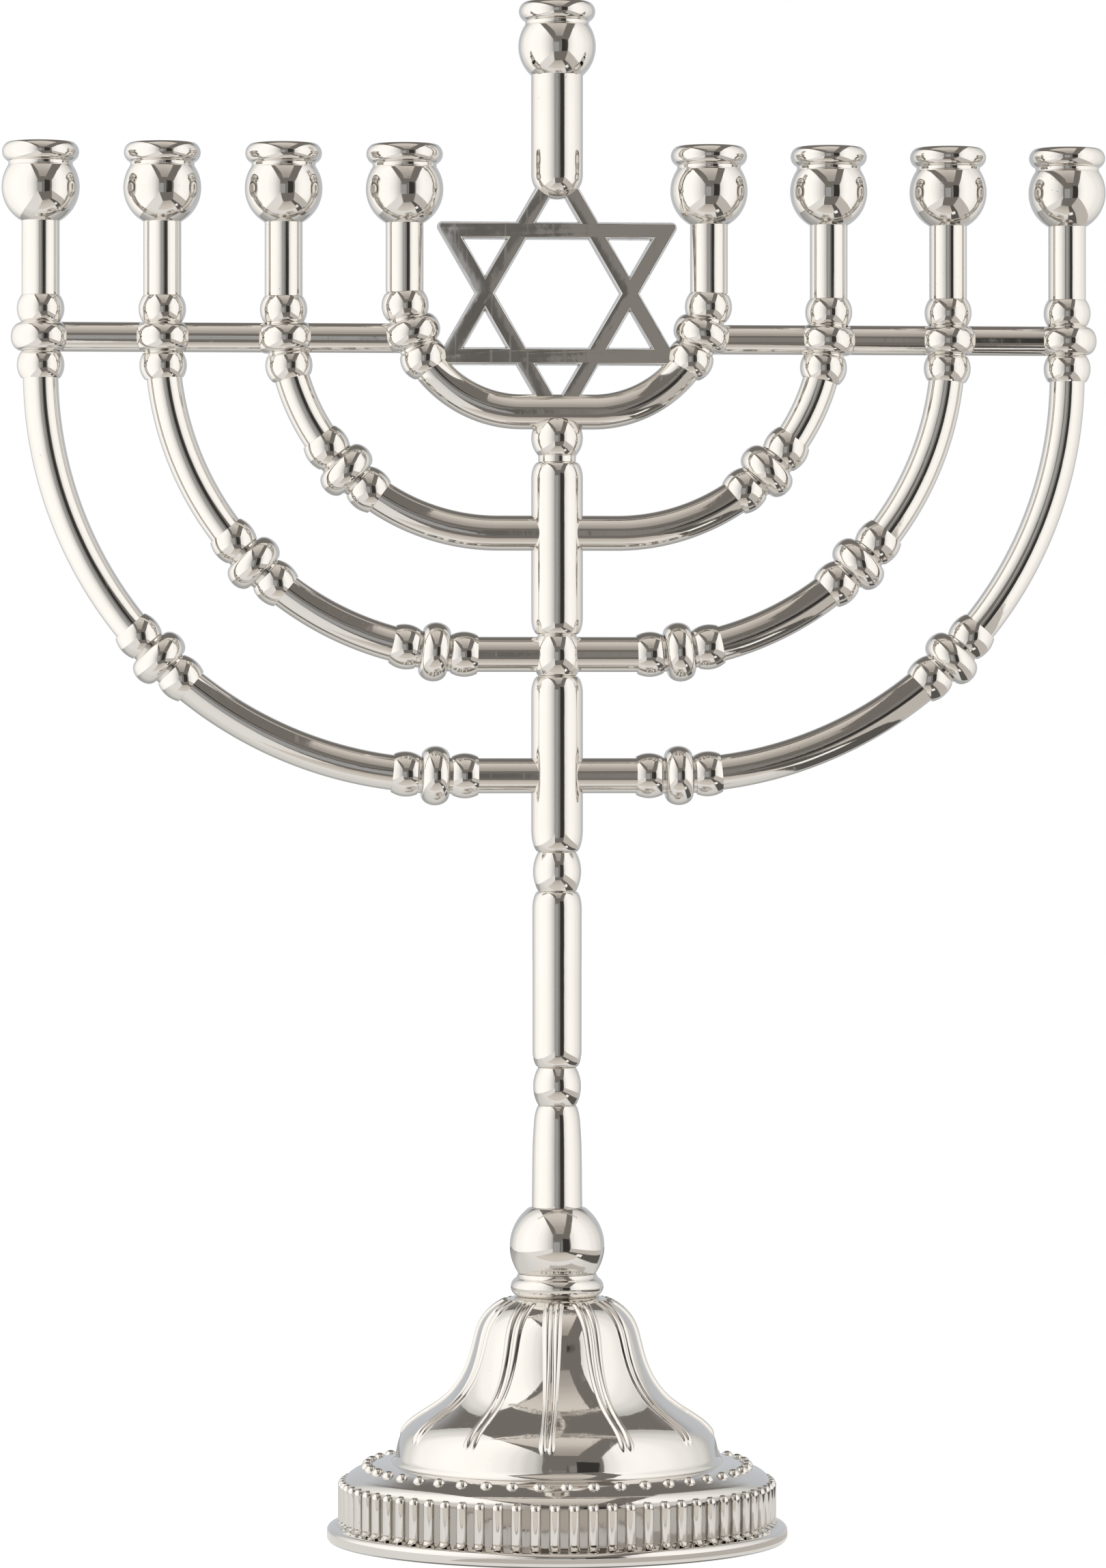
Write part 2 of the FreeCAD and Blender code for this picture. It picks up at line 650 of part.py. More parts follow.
def cup_top(outline, rim_z, pipe_radius):
    """Continue an outline up the globe, over the lip and down into the candle hole."""
    globe_z = rim_z - GLOBE_MIDDLE
    start_z = globe_z - math.sqrt(GLOBE_RADIUS ** 2 - pipe_radius ** 2)
    neck_z = globe_z + math.sqrt(GLOBE_RADIUS ** 2 - CUP_NECK_RADIUS ** 2)
    outline.to(pipe_radius, start_z)
    outline.arc((GLOBE_RADIUS, globe_z), (CUP_NECK_RADIUS, neck_z))
    outline.to(CUP_NECK_RADIUS, rim_z - LIP_NECK + 0.2)
    outline.arc((LIP_RADIUS, rim_z - LIP_MIDDLE), (6.5, rim_z))
    outline.to(CANDLE_RADIUS + 0.6, rim_z)
    outline.quarter((CANDLE_RADIUS, rim_z), (CANDLE_RADIUS, rim_z - 0.6))
    outline.to(CANDLE_RADIUS, rim_z - CANDLE_DEPTH)
    outline.to(0, rim_z - CANDLE_DEPTH)
    return outline


def branch_cup(branch):
    """Candle cup with its short pipe and a stud that screws into the arm."""
    foot_z = arm_end_z(branch)
    outline = Outline(0, foot_z)
    outline.to(BRANCH_PIPE_RADIUS, foot_z)
    cup = cup_top(outline, BRANCH_CUP_TOP, BRANCH_PIPE_RADIUS).solid()
    cup.translate(FreeCAD.Vector(branch_x(branch), 0, 0))
    return one_solid(cup.fuse(stud(branch)).removeSplitter())


def shamash_cup():
    """Raised middle cup; its pipe ends in a rounded tip that takes the star's top point."""
    outline = Outline(0, SHAMASH_PIPE_END_Z)
    shoulder_z = SHAMASH_PIPE_END_Z + 4.9
    outline.quarter((SHAMASH_PIPE_RADIUS, SHAMASH_PIPE_END_Z), (SHAMASH_PIPE_RADIUS, shoulder_z))
    return cup_top(outline, OVERALL_HEIGHT, SHAMASH_PIPE_RADIUS).solid()


# Assembly -----------------------------------------------------------------------------

def stem_nodes(rods):
    """Foot, stem and hardware, with the column bored for the arms."""
    return {
        "foot_plinth": foot_plinth(),
        "base_cover": base_cover(),
        "bell": bell(),
        "collar_ring": collar_ring(),
        "stem_ball": stem_ball(),
        "stem_barrel_short": stem_barrel_short(),
        "stem_bead_lower": stem_bead(BARREL_SHORT_TOP_Z, BEAD_LOWER_TOP_Z, 4.8),
        "stem_barrel_long": stem_barrel_long(),
        "stem_bead_upper": stem_bead(BARREL_LONG_TOP_Z, BEAD_UPPER_TOP_Z, 4.8),
        "column_lower": one_solid(column_lower().cut(rods[4])),
        "column_upper": one_solid(column_upper().cut([rods[2], rods[3]])),
        "column_top_bead": one_solid(column_top_bead().cut(rods[1])),
        "tie_rod": tie_rod(),
        "tie_washer": tie_washer(),
        "tie_nut": tie_nut(),
    }


def branch_nodes(rods, star_plate):
    """Knops, crossbars and cups on both sides."""
    nodes = {}
    blanks = knop_blanks()
    bars = {inner: crossbar(inner, blanks) for inner in (1, 2, 3)}
    for inner, bar in bars.items():
        nodes["crossbar_right_%d" % inner] = bar
    for branch in BRANCHES:
        nodes["cup_right_%d" % branch] = branch_cup(branch)
    for (row, branch), blank in blanks.items():
        tools = [rods[branch]]
        if row == "top":
            tools += list(bars.values())
            tools.append(nodes["cup_right_%d" % branch])
        if row == "top" and branch == 1:
            tools.append(star_plate)
        nodes["knop_%s_right_%d" % (row, branch)] = one_solid(blank.cut(tools))
    for name in list(nodes):
        nodes[name.replace("right", "left")] = mirrored(nodes[name])
    return nodes


def build():
    """All nodes by name."""
    rods = {branch: arm_blank(branch) for branch in BRANCHES}
    star_plate = one_solid(star().cut(rods[1]))
    nodes = stem_nodes(rods)
    for branch, rod in rods.items():
        nodes["arm_%d" % branch] = arm(branch, rod)
    nodes.update(branch_nodes(rods, star_plate))
    nodes["star"] = star_plate
    nodes["cup_shamash"] = one_solid(shamash_cup().cut(star_plate))
    return nodes


os.makedirs("parts", exist_ok=True)
for node, shape in build().items():
    shape.exportStep("parts/%s.step" % node)
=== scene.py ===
import math
import bmesh
import bpy
import numpy as np
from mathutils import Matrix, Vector
from mathutils.geometry import tessellate_polygon


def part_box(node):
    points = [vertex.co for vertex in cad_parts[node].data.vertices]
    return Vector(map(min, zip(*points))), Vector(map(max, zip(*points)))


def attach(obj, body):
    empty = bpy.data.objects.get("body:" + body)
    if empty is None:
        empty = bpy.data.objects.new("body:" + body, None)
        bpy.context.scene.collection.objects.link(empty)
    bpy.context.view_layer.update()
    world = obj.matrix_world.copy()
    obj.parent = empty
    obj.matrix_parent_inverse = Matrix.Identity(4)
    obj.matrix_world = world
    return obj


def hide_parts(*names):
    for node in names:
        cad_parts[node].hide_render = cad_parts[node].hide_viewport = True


# Nine-branch menorah in polished nickel plate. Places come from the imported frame, in metres;
# the sizes below shape what a box can't say. +Z is up and the front faces -Y.

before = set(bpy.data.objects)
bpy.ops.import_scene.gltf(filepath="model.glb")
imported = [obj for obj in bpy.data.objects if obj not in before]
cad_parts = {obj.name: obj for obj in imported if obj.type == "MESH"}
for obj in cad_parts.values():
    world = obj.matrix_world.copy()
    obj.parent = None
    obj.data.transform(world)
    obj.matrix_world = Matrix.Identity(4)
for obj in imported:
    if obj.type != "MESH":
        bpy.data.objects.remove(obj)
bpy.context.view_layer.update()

MM = 0.001

# Driving sizes --------------------------------------------

BRANCHES = (1, 2, 3, 4)
SIDES = {"right": 1, "left": -1}

ARM_RADIUS = 3.5 * MM
ARM_BEND = {1: 23.3 * MM, 2: 42.5 * MM, 3: 61.7 * MM, 4: 79.8 * MM}
ARM_STEP = 1.0 * MM

KNOP_END_RADIUS = 3.85 * MM
KNOP_NECK_RADIUS = 3.6 * MM
KNOP_BORE_RADIUS = 3.4 * MM
BEAD_HALF_LENGTH = 2.6 * MM
DISC_HALF_LENGTH = 2.8 * MM
DISC_RADIUS = 5.9 * MM
TOP_BEAD_RADIUS = 4.7 * MM
LOW_BEAD_RADIUS = 4.5 * MM
TOP_KNOP_PITCH = 5.55 * MM
LOW_KNOP_PITCH = 5.9 * MM

CUP_NECK_RADIUS = 6.35 * MM
CUP_RIM_RADIUS = 6.5 * MM
GLOBE_RADIUS = 7.7 * MM
GLOBE_DROP = 8.8 * MM
LIP_RADIUS = 7.6 * MM
LIP_DROP = 1.8 * MM
LIP_NECK_DROP = 3.8 * MM
CANDLE_RADIUS = 5.1 * MM
CANDLE_DEPTH = 11.0 * MM
BRANCH_PIPE_RADIUS = 3.75 * MM

SHAMASH_PIPE_RADIUS = 5.15 * MM
SHAMASH_PIPE_ROUND = 4.9 * MM

STEM_NECK_RADIUS = 3.75 * MM
COLUMN_SPIGOT_RADIUS = 2.4 * MM
ROD_HOLE_RADIUS = 2.3 * MM

RIB_PAIRS = 12
RIB_START_ANGLE = math.radians(-8.0)
RIB_HALF_WIDTH = 0.85 * MM
RIB_HEIGHT = 0.48 * MM
RIB_FILLET = 0.12 * MM

FLUTE_COUNT = 72
FLUTE_RADIUS = 1.1 * MM
FLUTE_TOP_Z = 12.0 * MM
FLANGE_HEIGHT = 3.0 * MM
SHOULDER_TOP_Z = 15.5 * MM
FLANGE_OVERHANG = 3.3 * MM
FLUTE_INNER_LIMIT = 39 * MM
DOT_COUNT = 45
DOT_RADIUS = 1.3 * MM
DOT_RING_RADIUS = 37.7 * MM
DOT_CENTRE_Z = 14.3 * MM
DOT_START_ANGLE = math.radians(6.4)

CRISP_ANGLE = math.radians(38)
EDGE_ROUND = 0.14 * MM


# Outlines -------------------------------------------------

class Profile:
    """Half section of a turned piece as radius and height, from its lower end upwards."""

    def __init__(self, r, z):
        self.points = [Vector((r, z))]

    def to(self, r, z):
        """Straight line."""
        self.points.append(Vector((r, z)))
        return self

    def arc(self, middle, end, steps=28):
        """Circular arc through a middle point."""
        start, middle, end = self.points[-1], Vector(middle), Vector(end)
        a, b = middle - start, end - start
        twice = 2 * (a.x * b.y - a.y * b.x)
        centre = start + Vector((b.y * a.length_squared - a.y * b.length_squared,
                                 a.x * b.length_squared - b.x * a.length_squared)) / twice
        first = math.atan2(start.y - centre.y, start.x - centre.x)
        last = math.atan2(end.y - centre.y, end.x - centre.x)
        if twice > 0:
            last += 2 * math.pi * (last < first)
        else:
            last -= 2 * math.pi * (last > first)
        radius = (start - centre).length
        for step in range(1, steps + 1):
            angle = first + (last - first) * step / steps
            self.points.append(centre + radius * Vector((math.cos(angle), math.sin(angle))))
        return self

    def quarter(self, corner, end, steps=10):
        """Quarter of an ellipse that rounds off the given corner."""
        start, corner, end = self.points[-1], Vector(corner), Vector(end)
        centre = start + end - corner
        for step in range(1, steps + 1):
            angle = math.pi / 2 * step / steps
            outward = (start - centre) * math.cos(angle) + (end - centre) * math.sin(angle)
            self.points.append(centre + outward)
        return self

    def smooth(self, points, steps=10):
        """Natural cubic spline through a few points."""
        knots = np.array([tuple(self.points[-1])] + [tuple(p) for p in points])
        self.points += [Vector(p) for p in spline_points(knots, steps)[1:]]
        return self


def spline_points(knots, steps):
    """Points of a natural cubic spline whose parameter is the distance between knots."""
    spans = np.linalg.norm(np.diff(knots, axis=0), axis=1)
    count = len(knots)
    matrix, right = np.eye(count), np.zeros(knots.shape)
    for i in range(1, count - 1):
        matrix[i, i - 1:i + 2] = spans[i - 1], 2 * (spans[i - 1] + spans[i]), spans[i]
        rise = (knots[i + 1] - knots[i]) / spans[i] - (knots[i] - knots[i - 1]) / spans[i - 1]
        right[i] = 6 * rise
    bend = np.linalg.solve(matrix, right)
    points = [knots[0]]
    for i, span in enumerate(spans):
        for step in range(1, steps + 1):
            b = step / steps
            a = 1 - b
            curve = (a ** 3 - a) * bend[i] + (b ** 3 - b) * bend[i + 1]
            points.append(a * knots[i] + b * knots[i + 1] + curve * span ** 2 / 6)
    return points


def walk(points, corner, step, distance):
    """The point a distance along a line of points from a corner, and the index it passes."""
    index = corner
    while True:
        here, following = points[index], points[index + step]
        length = (following - here).length
        if length >= distance or index + step in (0, len(points) - 1):
            furthest = 0.5 if index == corner else 1.0
            return here.lerp(following, min(furthest, distance / length)), index + step
        distance -= length
        index += step


def soften(points, distance, sharpest=math.radians(25)):
    """Round the corners of an outline; corners on the axis stay."""
    corners = []
    for i in range(1, len(points) - 1):
        before, after = points[i] - points[i - 1], points[i + 1] - points[i]
        if before.length > 0 and after.length > 0 and before.angle(after) > sharpest:
            corners.append(i)
    result, following = [], 0
    for corner in corners:
        start, before = walk(points, corner, -1, distance)
        end, after = walk(points, corner, 1, distance)
        result += points[following:before + 1]
        for step in range(5):
            t = step / 4
            result.append(start * (1 - t) ** 2 + points[corner] * 2 * t * (1 - t) + end * t ** 2)
        following = after
    return result + list(points[following:])


# Meshes ---------------------------------------------------

def mesh_object(name, vertices, faces, crisp=CRISP_ANGLE):
    """Object from vertices and faces, with outward normals and smooth shading."""
    mesh = bpy.data.meshes.new(name)
    mesh.from_pydata([tuple(v) for v in vertices], [], faces)
    tidy = bmesh.new()
    tidy.from_mesh(mesh)
    bmesh.ops.recalc_face_normals(tidy, faces=tidy.faces)
    tidy.to_mesh(mesh)
    tidy.free()
    mesh.shade_smooth()
    mesh.set_sharp_from_angle(angle=crisp)
    piece = bpy.data.objects.new(name, mesh)
    bpy.context.scene.collection.objects.link(piece)
    return piece


def skin(rings, start_pole=None, end_pole=None, loop=False):
    """Vertices and faces of a surface through equal rings, closed at its ends or on itself."""
    count = len(rings[0])
    vertices = [v for ring in rings for v in ring]
    faces = []
    turns = len(rings) if loop else len(rings) - 1
    for row in range(turns):
        lower, upper = row * count, (row + 1) % len(rings) * count
        for i in range(count):
            j = (i + 1) % count
            faces.append((lower + i, lower + j, upper + j, upper + i))
    if not loop:
        for pole, first in ((start_pole, 0), (end_pole, (len(rings) - 1) * count)):
            vertices.append(pole)
            tip = len(vertices) - 1
            faces += [(tip, first + i, first + (i + 1) % count) for i in range(count)]
    return vertices, faces


def round_ring(radius, z, segments, centre_x=0.0):
    """Level circle of points."""
    turn = 2 * math.pi / segments
    return [(centre_x + radius * math.sin(i * turn), -radius * math.cos(i * turn), z)
            for i in range(segments)]


def lathe(name, profile, segments=128, centre_x=0.0):
    """Solid turned piece with softened corners; the profile starts and ends on the axis."""
    points = soften(profile.points, EDGE_ROUND)
    inner = points[1:-1]
    rings = [round_ring(max(p.x, 1e-6), p.y, segments, centre_x) for p in inner]
    poles = [(centre_x, 0, points[0].y), (centre_x, 0, points[-1].y)]
    return mesh_object(name, *skin(rings, poles[0], poles[1]))


def stand_for(piece, node):
    """The piece takes the place of a CAD node."""
    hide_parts(node)
    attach(piece, "root")
    return piece


def outer_radius(node):
    """Half of a turned node's width."""
    low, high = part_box(node)
    return (high.x - low.x) / 2


# Materials ------------------------------------------------

class Shader:
    """Short way to write a node material."""

    def __init__(self, name):
        self.material = bpy.data.materials.new(name)
        self.material.use_nodes = True
        self.tree = self.material.node_tree
        self.surface = self.tree.nodes["Principled BSDF"]

    def node(self, kind, inputs=None, **settings):
        """New node; inputs are values, or (node, output name) pairs to link."""
        made = self.tree.nodes.new("ShaderNode" + kind)
        for key, value in settings.items():
            setattr(made, key, value)
        self.feed(made, inputs or {})
        return made

    def feed(self, node, inputs):
        """Set or link a node's inputs by name or number."""
        for key, value in inputs.items():
            if isinstance(value, tuple) and isinstance(value[0], bpy.types.Node):
                self.tree.links.new(value[0].outputs[value[1]], node.inputs[key])
            else:
                node.inputs[key].default_value = value

    def noise(self, coordinates, scale, detail=2.0, roughness=0.5):
        """Noise texture on given coordinates."""
        return self.node("TexNoise", {"Vector": coordinates, "Scale": scale,
                                      "Detail": detail, "Roughness": roughness})

    def span(self, value, low, high, to_low, to_high):
        """Smooth step from one range of values to another."""
        return self.node("MapRange", {"Value": value, "From Min": low, "From Max": high,
                                      "To Min": to_low, "To Max": to_high},
                         interpolation_type="SMOOTHSTEP")


def scratches(shader, coordinates, turn, stretch, fine):
    """Sparse thin lines along one direction, as a factor from 0 to 1."""
    mapping = shader.node("Mapping", {"Vector": coordinates, "Rotation": turn, "Scale": stretch})
    streaks = shader.noise((mapping, "Vector"), fine, 1.0)
    return shader.span((streaks, "Fac"), 0.66, 0.72, 0.0, 1.0)


def painted_groove_shade(shader, place, colour, radius, bottom, top):
    """Painted shade: darker nickel on the wall between the flutes, where the grooves fall in shade."""
    split = shader.node("SeparateXYZ", {0: place})
    spot = shader.node("CombineXYZ", {0: (split, "X"), 1: (split, "Y")})
    across = shader.node("VectorMath", {0: (spot, "Vector")}, operation="LENGTH")
    near = shader.span((across, "Value"), radius + 0.05 * MM, radius + 0.45 * MM, 1.0, 0.0)
    above = shader.span((split, "Z"), bottom, bottom + 0.5 * MM, 0.0, 1.0)
    below = shader.span((split, "Z"), top - 0.5 * MM, top, 1.0, 0.0)
    band = shader.node("Math", {0: (above, "Result"), 1: (below, "Result")}, operation="MULTIPLY")
    share = shader.node("Math", {0: (near, "Result"), 1: (band, "Value")}, operation="MULTIPLY")
    dark = shader.node("MixRGB", {"Fac": (share, "Value"), "Color1": colour,
                                  "Color2": (0.47, 0.445, 0.41, 1)})
    return dark, "Color"


def nickel_plate(name, groove=None):
    """Polished nickel plate: warm silver, softly waved, with haze, pits and fine scratches.

    The groove, if any, is the radius, lowest and highest place of an upright wall that gets painted
    shade.
    """
    shader = Shader(name)
    place = (shader.node("TexCoord"), "Object")
    wave = shader.noise(place, 210.0, 1.5)
    ripple = shader.noise(place, 620.0, 2.0)
    haze = shader.noise(place, 55.0, 4.0, 0.6)
    grain = shader.noise(place, 5200.0, 2.0)
    pits = shader.node("TexVoronoi", {"Vector": place, "Scale": 900.0, "Randomness": 1.0})
    pit = shader.span((pits, "Distance"), 0.05, 0.13, 1.0, 0.0)
    pit_zone = shader.span((haze, "Fac"), 0.55, 0.7, 0.0, 1.0)
    pit_here = shader.node("Math", {0: (pit, "Result"), 1: (pit_zone, "Result")}, operation="MULTIPLY")
    long_marks = scratches(shader, place, (0.3, 0.5, 0.1), (900.0, 900.0, 28.0), 1.0)
    cross_marks = scratches(shader, place, (0.2, 1.2, 0.4), (1100.0, 1100.0, 34.0), 1.0)
    marks = shader.node("Math", {0: (long_marks, "Result"), 1: (cross_marks, "Result")},
                        operation="MAXIMUM")
    tone = shader.node("MixRGB", {"Fac": (haze, "Fac"), "Color1": (0.80, 0.772, 0.735, 1),
                                  "Color2": (0.745, 0.715, 0.672, 1)})
    stained = shader.node("MixRGB", {"Fac": (pit_here, "Value"), "Color1": (tone, "Color"),
                                     "Color2": (0.30, 0.27, 0.24, 1)})
    gloss = shader.span((haze, "Fac"), 0.3, 0.75, 0.035, 0.085)
    marked = shader.node("Math", {0: (marks, "Value"), 1: 0.07, 2: (gloss, "Result")},
                         operation="MULTIPLY_ADD")
    slow = shader.node("Bump", {"Strength": 1.0, "Distance": 0.000022, "Height": (wave, "Fac")})
    quick = shader.node("Bump", {"Strength": 1.0, "Distance": 0.0000035, "Height": (ripple, "Fac"),
                                 "Normal": (slow, "Normal")})
    fine = shader.node("Bump", {"Strength": 1.0, "Distance": 0.0000002, "Height": (grain, "Fac"),
                                "Normal": (quick, "Normal")})
    sunk = shader.node("Bump", {"Strength": 0.6, "Distance": 0.00002, "Height": (pit_here, "Value"),
                                "Normal": (fine, "Normal")}, invert=True)
    colour = (stained, "Color")
    # Painted shade: the wall between the flutes is darkened in the base colour.
    if groove:
        colour = painted_groove_shade(shader, place, colour, *groove)
    shader.feed(shader.surface, {"Base Color": colour, "Metallic": 1.0,
                                 "Roughness": (marked, "Value"), "Normal": (sunk, "Normal")})
    return shader.material


def zinc_steel():
    """Zinc-plated hardware: blue-grey, spangled and dull."""
    shader = Shader("zinc_steel")
    place = (shader.node("TexCoord"), "Object")
    spangle = shader.node("TexVoronoi", {"Vector": place, "Scale": 650.0})
    cloud = shader.noise(place, 120.0, 4.0)
    tone = shader.node("MixRGB", {"Fac": (spangle, "Distance"), "Color1": (0.50, 0.52, 0.54, 1),
                                  "Color2": (0.62, 0.63, 0.63, 1)})
    rough = shader.span((cloud, "Fac"), 0.3, 0.7, 0.28, 0.45)
    bump = shader.node("Bump", {"Strength": 0.4, "Distance": 0.00002, "Height": (cloud, "Fac")})
    shader.feed(shader.surface, {"Base Color": (tone, "Color"), "Metallic": 1.0,
                                 "Roughness": (rough, "Result"), "Normal": (bump, "Normal")})
    return shader.material


def base_rubber():
    """Matt black sheet rubber with a fine grain and some dust."""
    shader = Shader("base_rubber")
    place = (shader.node("TexCoord"), "Object")
    grain = shader.noise(place, 1800.0, 3.0)
    dust = shader.noise(place, 70.0, 5.0, 0.65)
    amount = shader.span((dust, "Fac"), 0.5, 0.75, 0.0, 0.35)
    tone = shader.node("MixRGB", {"Fac": (amount, "Result"), "Color1": (0.022, 0.022, 0.024, 1),
                                  "Color2": (0.16, 0.155, 0.15, 1)})
    rough = shader.span((grain, "Fac"), 0.3, 0.7, 0.62, 0.85)
    bump = shader.node("Bump", {"Strength": 0.7, "Distance": 0.00008, "Height": (grain, "Fac")})
    shader.feed(shader.surface, {"Base Color": (tone, "Color"), "Roughness": (rough, "Result"),
                                 "Normal": (bump, "Normal")})
    return shader.material


NICKEL = nickel_plate("nickel_plate")
STEEL = zinc_steel()
RUBBER = base_rubber()


def dress(piece, material):
    """Give a piece or CAD node one material."""
    piece.data.materials.clear()
    piece.data.materials.append(material)
    return piece


# Stem -----------------------------------------------------

def turned(node, draw, segments=144):
    """Visual piece for a turned stem node: draw gets the node's lower and upper height."""
    low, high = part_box(node)
    profile = Profile(0, low.z)
    draw(profile, low.z, high.z)
    profile.to(0, high.z)
    return dress(stand_for(lathe(node + "_turned", profile, segments), node), NICKEL)


def draw_collar(profile, low, high):
    """Rolled ring with a thin cove above it."""
    profile.to(7.9 * MM, low)
    profile.arc((9.25 * MM, low + 2.0 * MM), (8.5 * MM, low + 3.5 * MM))
    profile.quarter((8.0 * MM, high - 0.8 * MM), (7.85 * MM, high))


def draw_ball(profile, low, high):
    """Ball cut flat where its neighbours sit."""
    radius = outer_radius("stem_ball")
    middle = low + 5.5 * MM
    profile.to(math.sqrt(radius ** 2 - (middle - low) ** 2), low)
    profile.arc((radius, middle), (math.sqrt(radius ** 2 - (high - middle) ** 2), high), 56)


def draw_barrel_short(profile, low, high):
    """Short barrel: crisp below, tapering to a rounded end above."""
    profile.to(5.05 * MM, low)
    profile.smooth([(4.98 * MM, low + 6.2 * MM), (4.88 * MM, low + 12.7 * MM),
                    (4.62 * MM, high - 3.2 * MM)])
    profile.quarter((4.4 * MM, high - 0.5 * MM), (STEM_NECK_RADIUS, high))


def draw_bead(profile, low, high):
    """Round bead of the lower stem."""
    profile.to(STEM_NECK_RADIUS, low)
    profile.arc((4.8 * MM, (low + high) / 2), (STEM_NECK_RADIUS, high))


def draw_barrel_long(profile, low, high):
    """Long barrel, rounded at both ends."""
    rounding, radius = 3.5 * MM, outer_radius("stem_barrel_long")
    profile.to(STEM_NECK_RADIUS, low)
    profile.quarter((radius, low), (radius, low + rounding))
    profile.to(radius, high - rounding)
    profile.quarter((radius, high), (STEM_NECK_RADIUS, high))


def draw_column_lower(profile, low, high):
    """Barrel that the outer arm passes through."""
    radius = outer_radius("column_lower")
    profile.to(STEM_NECK_RADIUS, low)
    profile.quarter((radius, low), (radius, low + 4.5 * MM))
    profile.to(radius, high - 3.5 * MM)
    profile.quarter((radius, high), (STEM_NECK_RADIUS, high))


def draw_column_upper(profile, low, high):
    """Bead and barrel for the third and second arms; the spigot below is hidden."""
    radius, rounding = outer_radius("column_upper"), 3.3 * MM
    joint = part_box("column_lower")[1].z
    bead_top = joint + 8.2 * MM
    profile.to(COLUMN_SPIGOT_RADIUS, low)
    profile.to(COLUMN_SPIGOT_RADIUS, joint)
    profile.to(STEM_NECK_RADIUS, joint)
    profile.arc((5.1 * MM, (joint + bead_top) / 2), (STEM_NECK_RADIUS, bead_top))
    profile.quarter((radius, bead_top), (radius, bead_top + rounding))
    profile.to(radius, high - rounding)
    profile.quarter((radius, high), (STEM_NECK_RADIUS, high))


def draw_column_top_bead(profile, low, high):
    """Top bead; its upper half is hidden where the inner arm lies in it."""
    radius, joint = 5.15 * MM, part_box("column_upper")[1].z
    middle = joint + 4.8 * MM
    drop = math.sqrt(radius ** 2 - STEM_NECK_RADIUS ** 2)
    profile.to(COLUMN_SPIGOT_RADIUS, low)
    profile.to(COLUMN_SPIGOT_RADIUS, joint)
    profile.to(STEM_NECK_RADIUS, joint)
    profile.to(STEM_NECK_RADIUS, middle - drop)
    rise = high - middle
    profile.arc((radius, middle), (math.sqrt(radius ** 2 - rise ** 2), high), 40)


def build_stem():
    """All turned pieces of the stem."""
    turned("collar_ring", draw_collar)
    turned("stem_ball", draw_ball, 192)
    turned("stem_barrel_short", draw_barrel_short)
    turned("stem_bead_lower", draw_bead)
    turned("stem_barrel_long", draw_barrel_long)
    turned("stem_bead_upper", draw_bead)
    turned("column_lower", draw_column_lower)
    turned("column_upper", draw_column_upper)
    turned("column_top_bead", draw_column_top_bead)


# Foot -----------------------------------------------------

def displaced_lathe(name, outer, inner, column_angles, raise_outer):
    """Turned shell whose outer surface is raised by a relief, with one closed skin.

    The angles of the columns depend on the radius, so that they can follow the relief.
    """
    rings = []
    for index, point in enumerate(outer):
        before, after = outer[max(index - 1, 0)], outer[min(index + 1, len(outer) - 1)]
        along = (after - before).normalized()
        outward = Vector((along.y, -along.x))
        ring = []
        for angle in column_angles(point):
            lifted = point + outward * raise_outer(point, outward, angle)
            ring.append((lifted.x * math.sin(angle), -lifted.x * math.cos(angle), lifted.y))
        rings.append(ring)
    for point in inner:
        ring = [(point.x * math.sin(a), -point.x * math.cos(a), point.y) for a in column_angles(point)]
        rings.append(ring)
    return mesh_object(name, *skin(rings, loop=True))


def bell_outline(top):
    """The bell's outer curve from its foot up to its flat top."""
    points = [(32.2, -31.6), (30.6, -26.6), (27.0, -23.5), (22.2, -20.2), (18.4, -15.2),
              (16.4, -9.2), (15.0, -4.9), (12.0, -1.7), (8.6, 0.0)]
    knots = np.array([(r * MM, top + z * MM) for r, z in points])
    return [Vector(p) for p in spline_points(knots, 16)]


def rib_share(point, top):
    """How far down the ribs a point of the bell lies: 0 at their upper end, 1 at their foot."""
    head, foot = top - 1.8 * MM, top - 26.5 * MM
    return (head - point.y) / (head - foot)


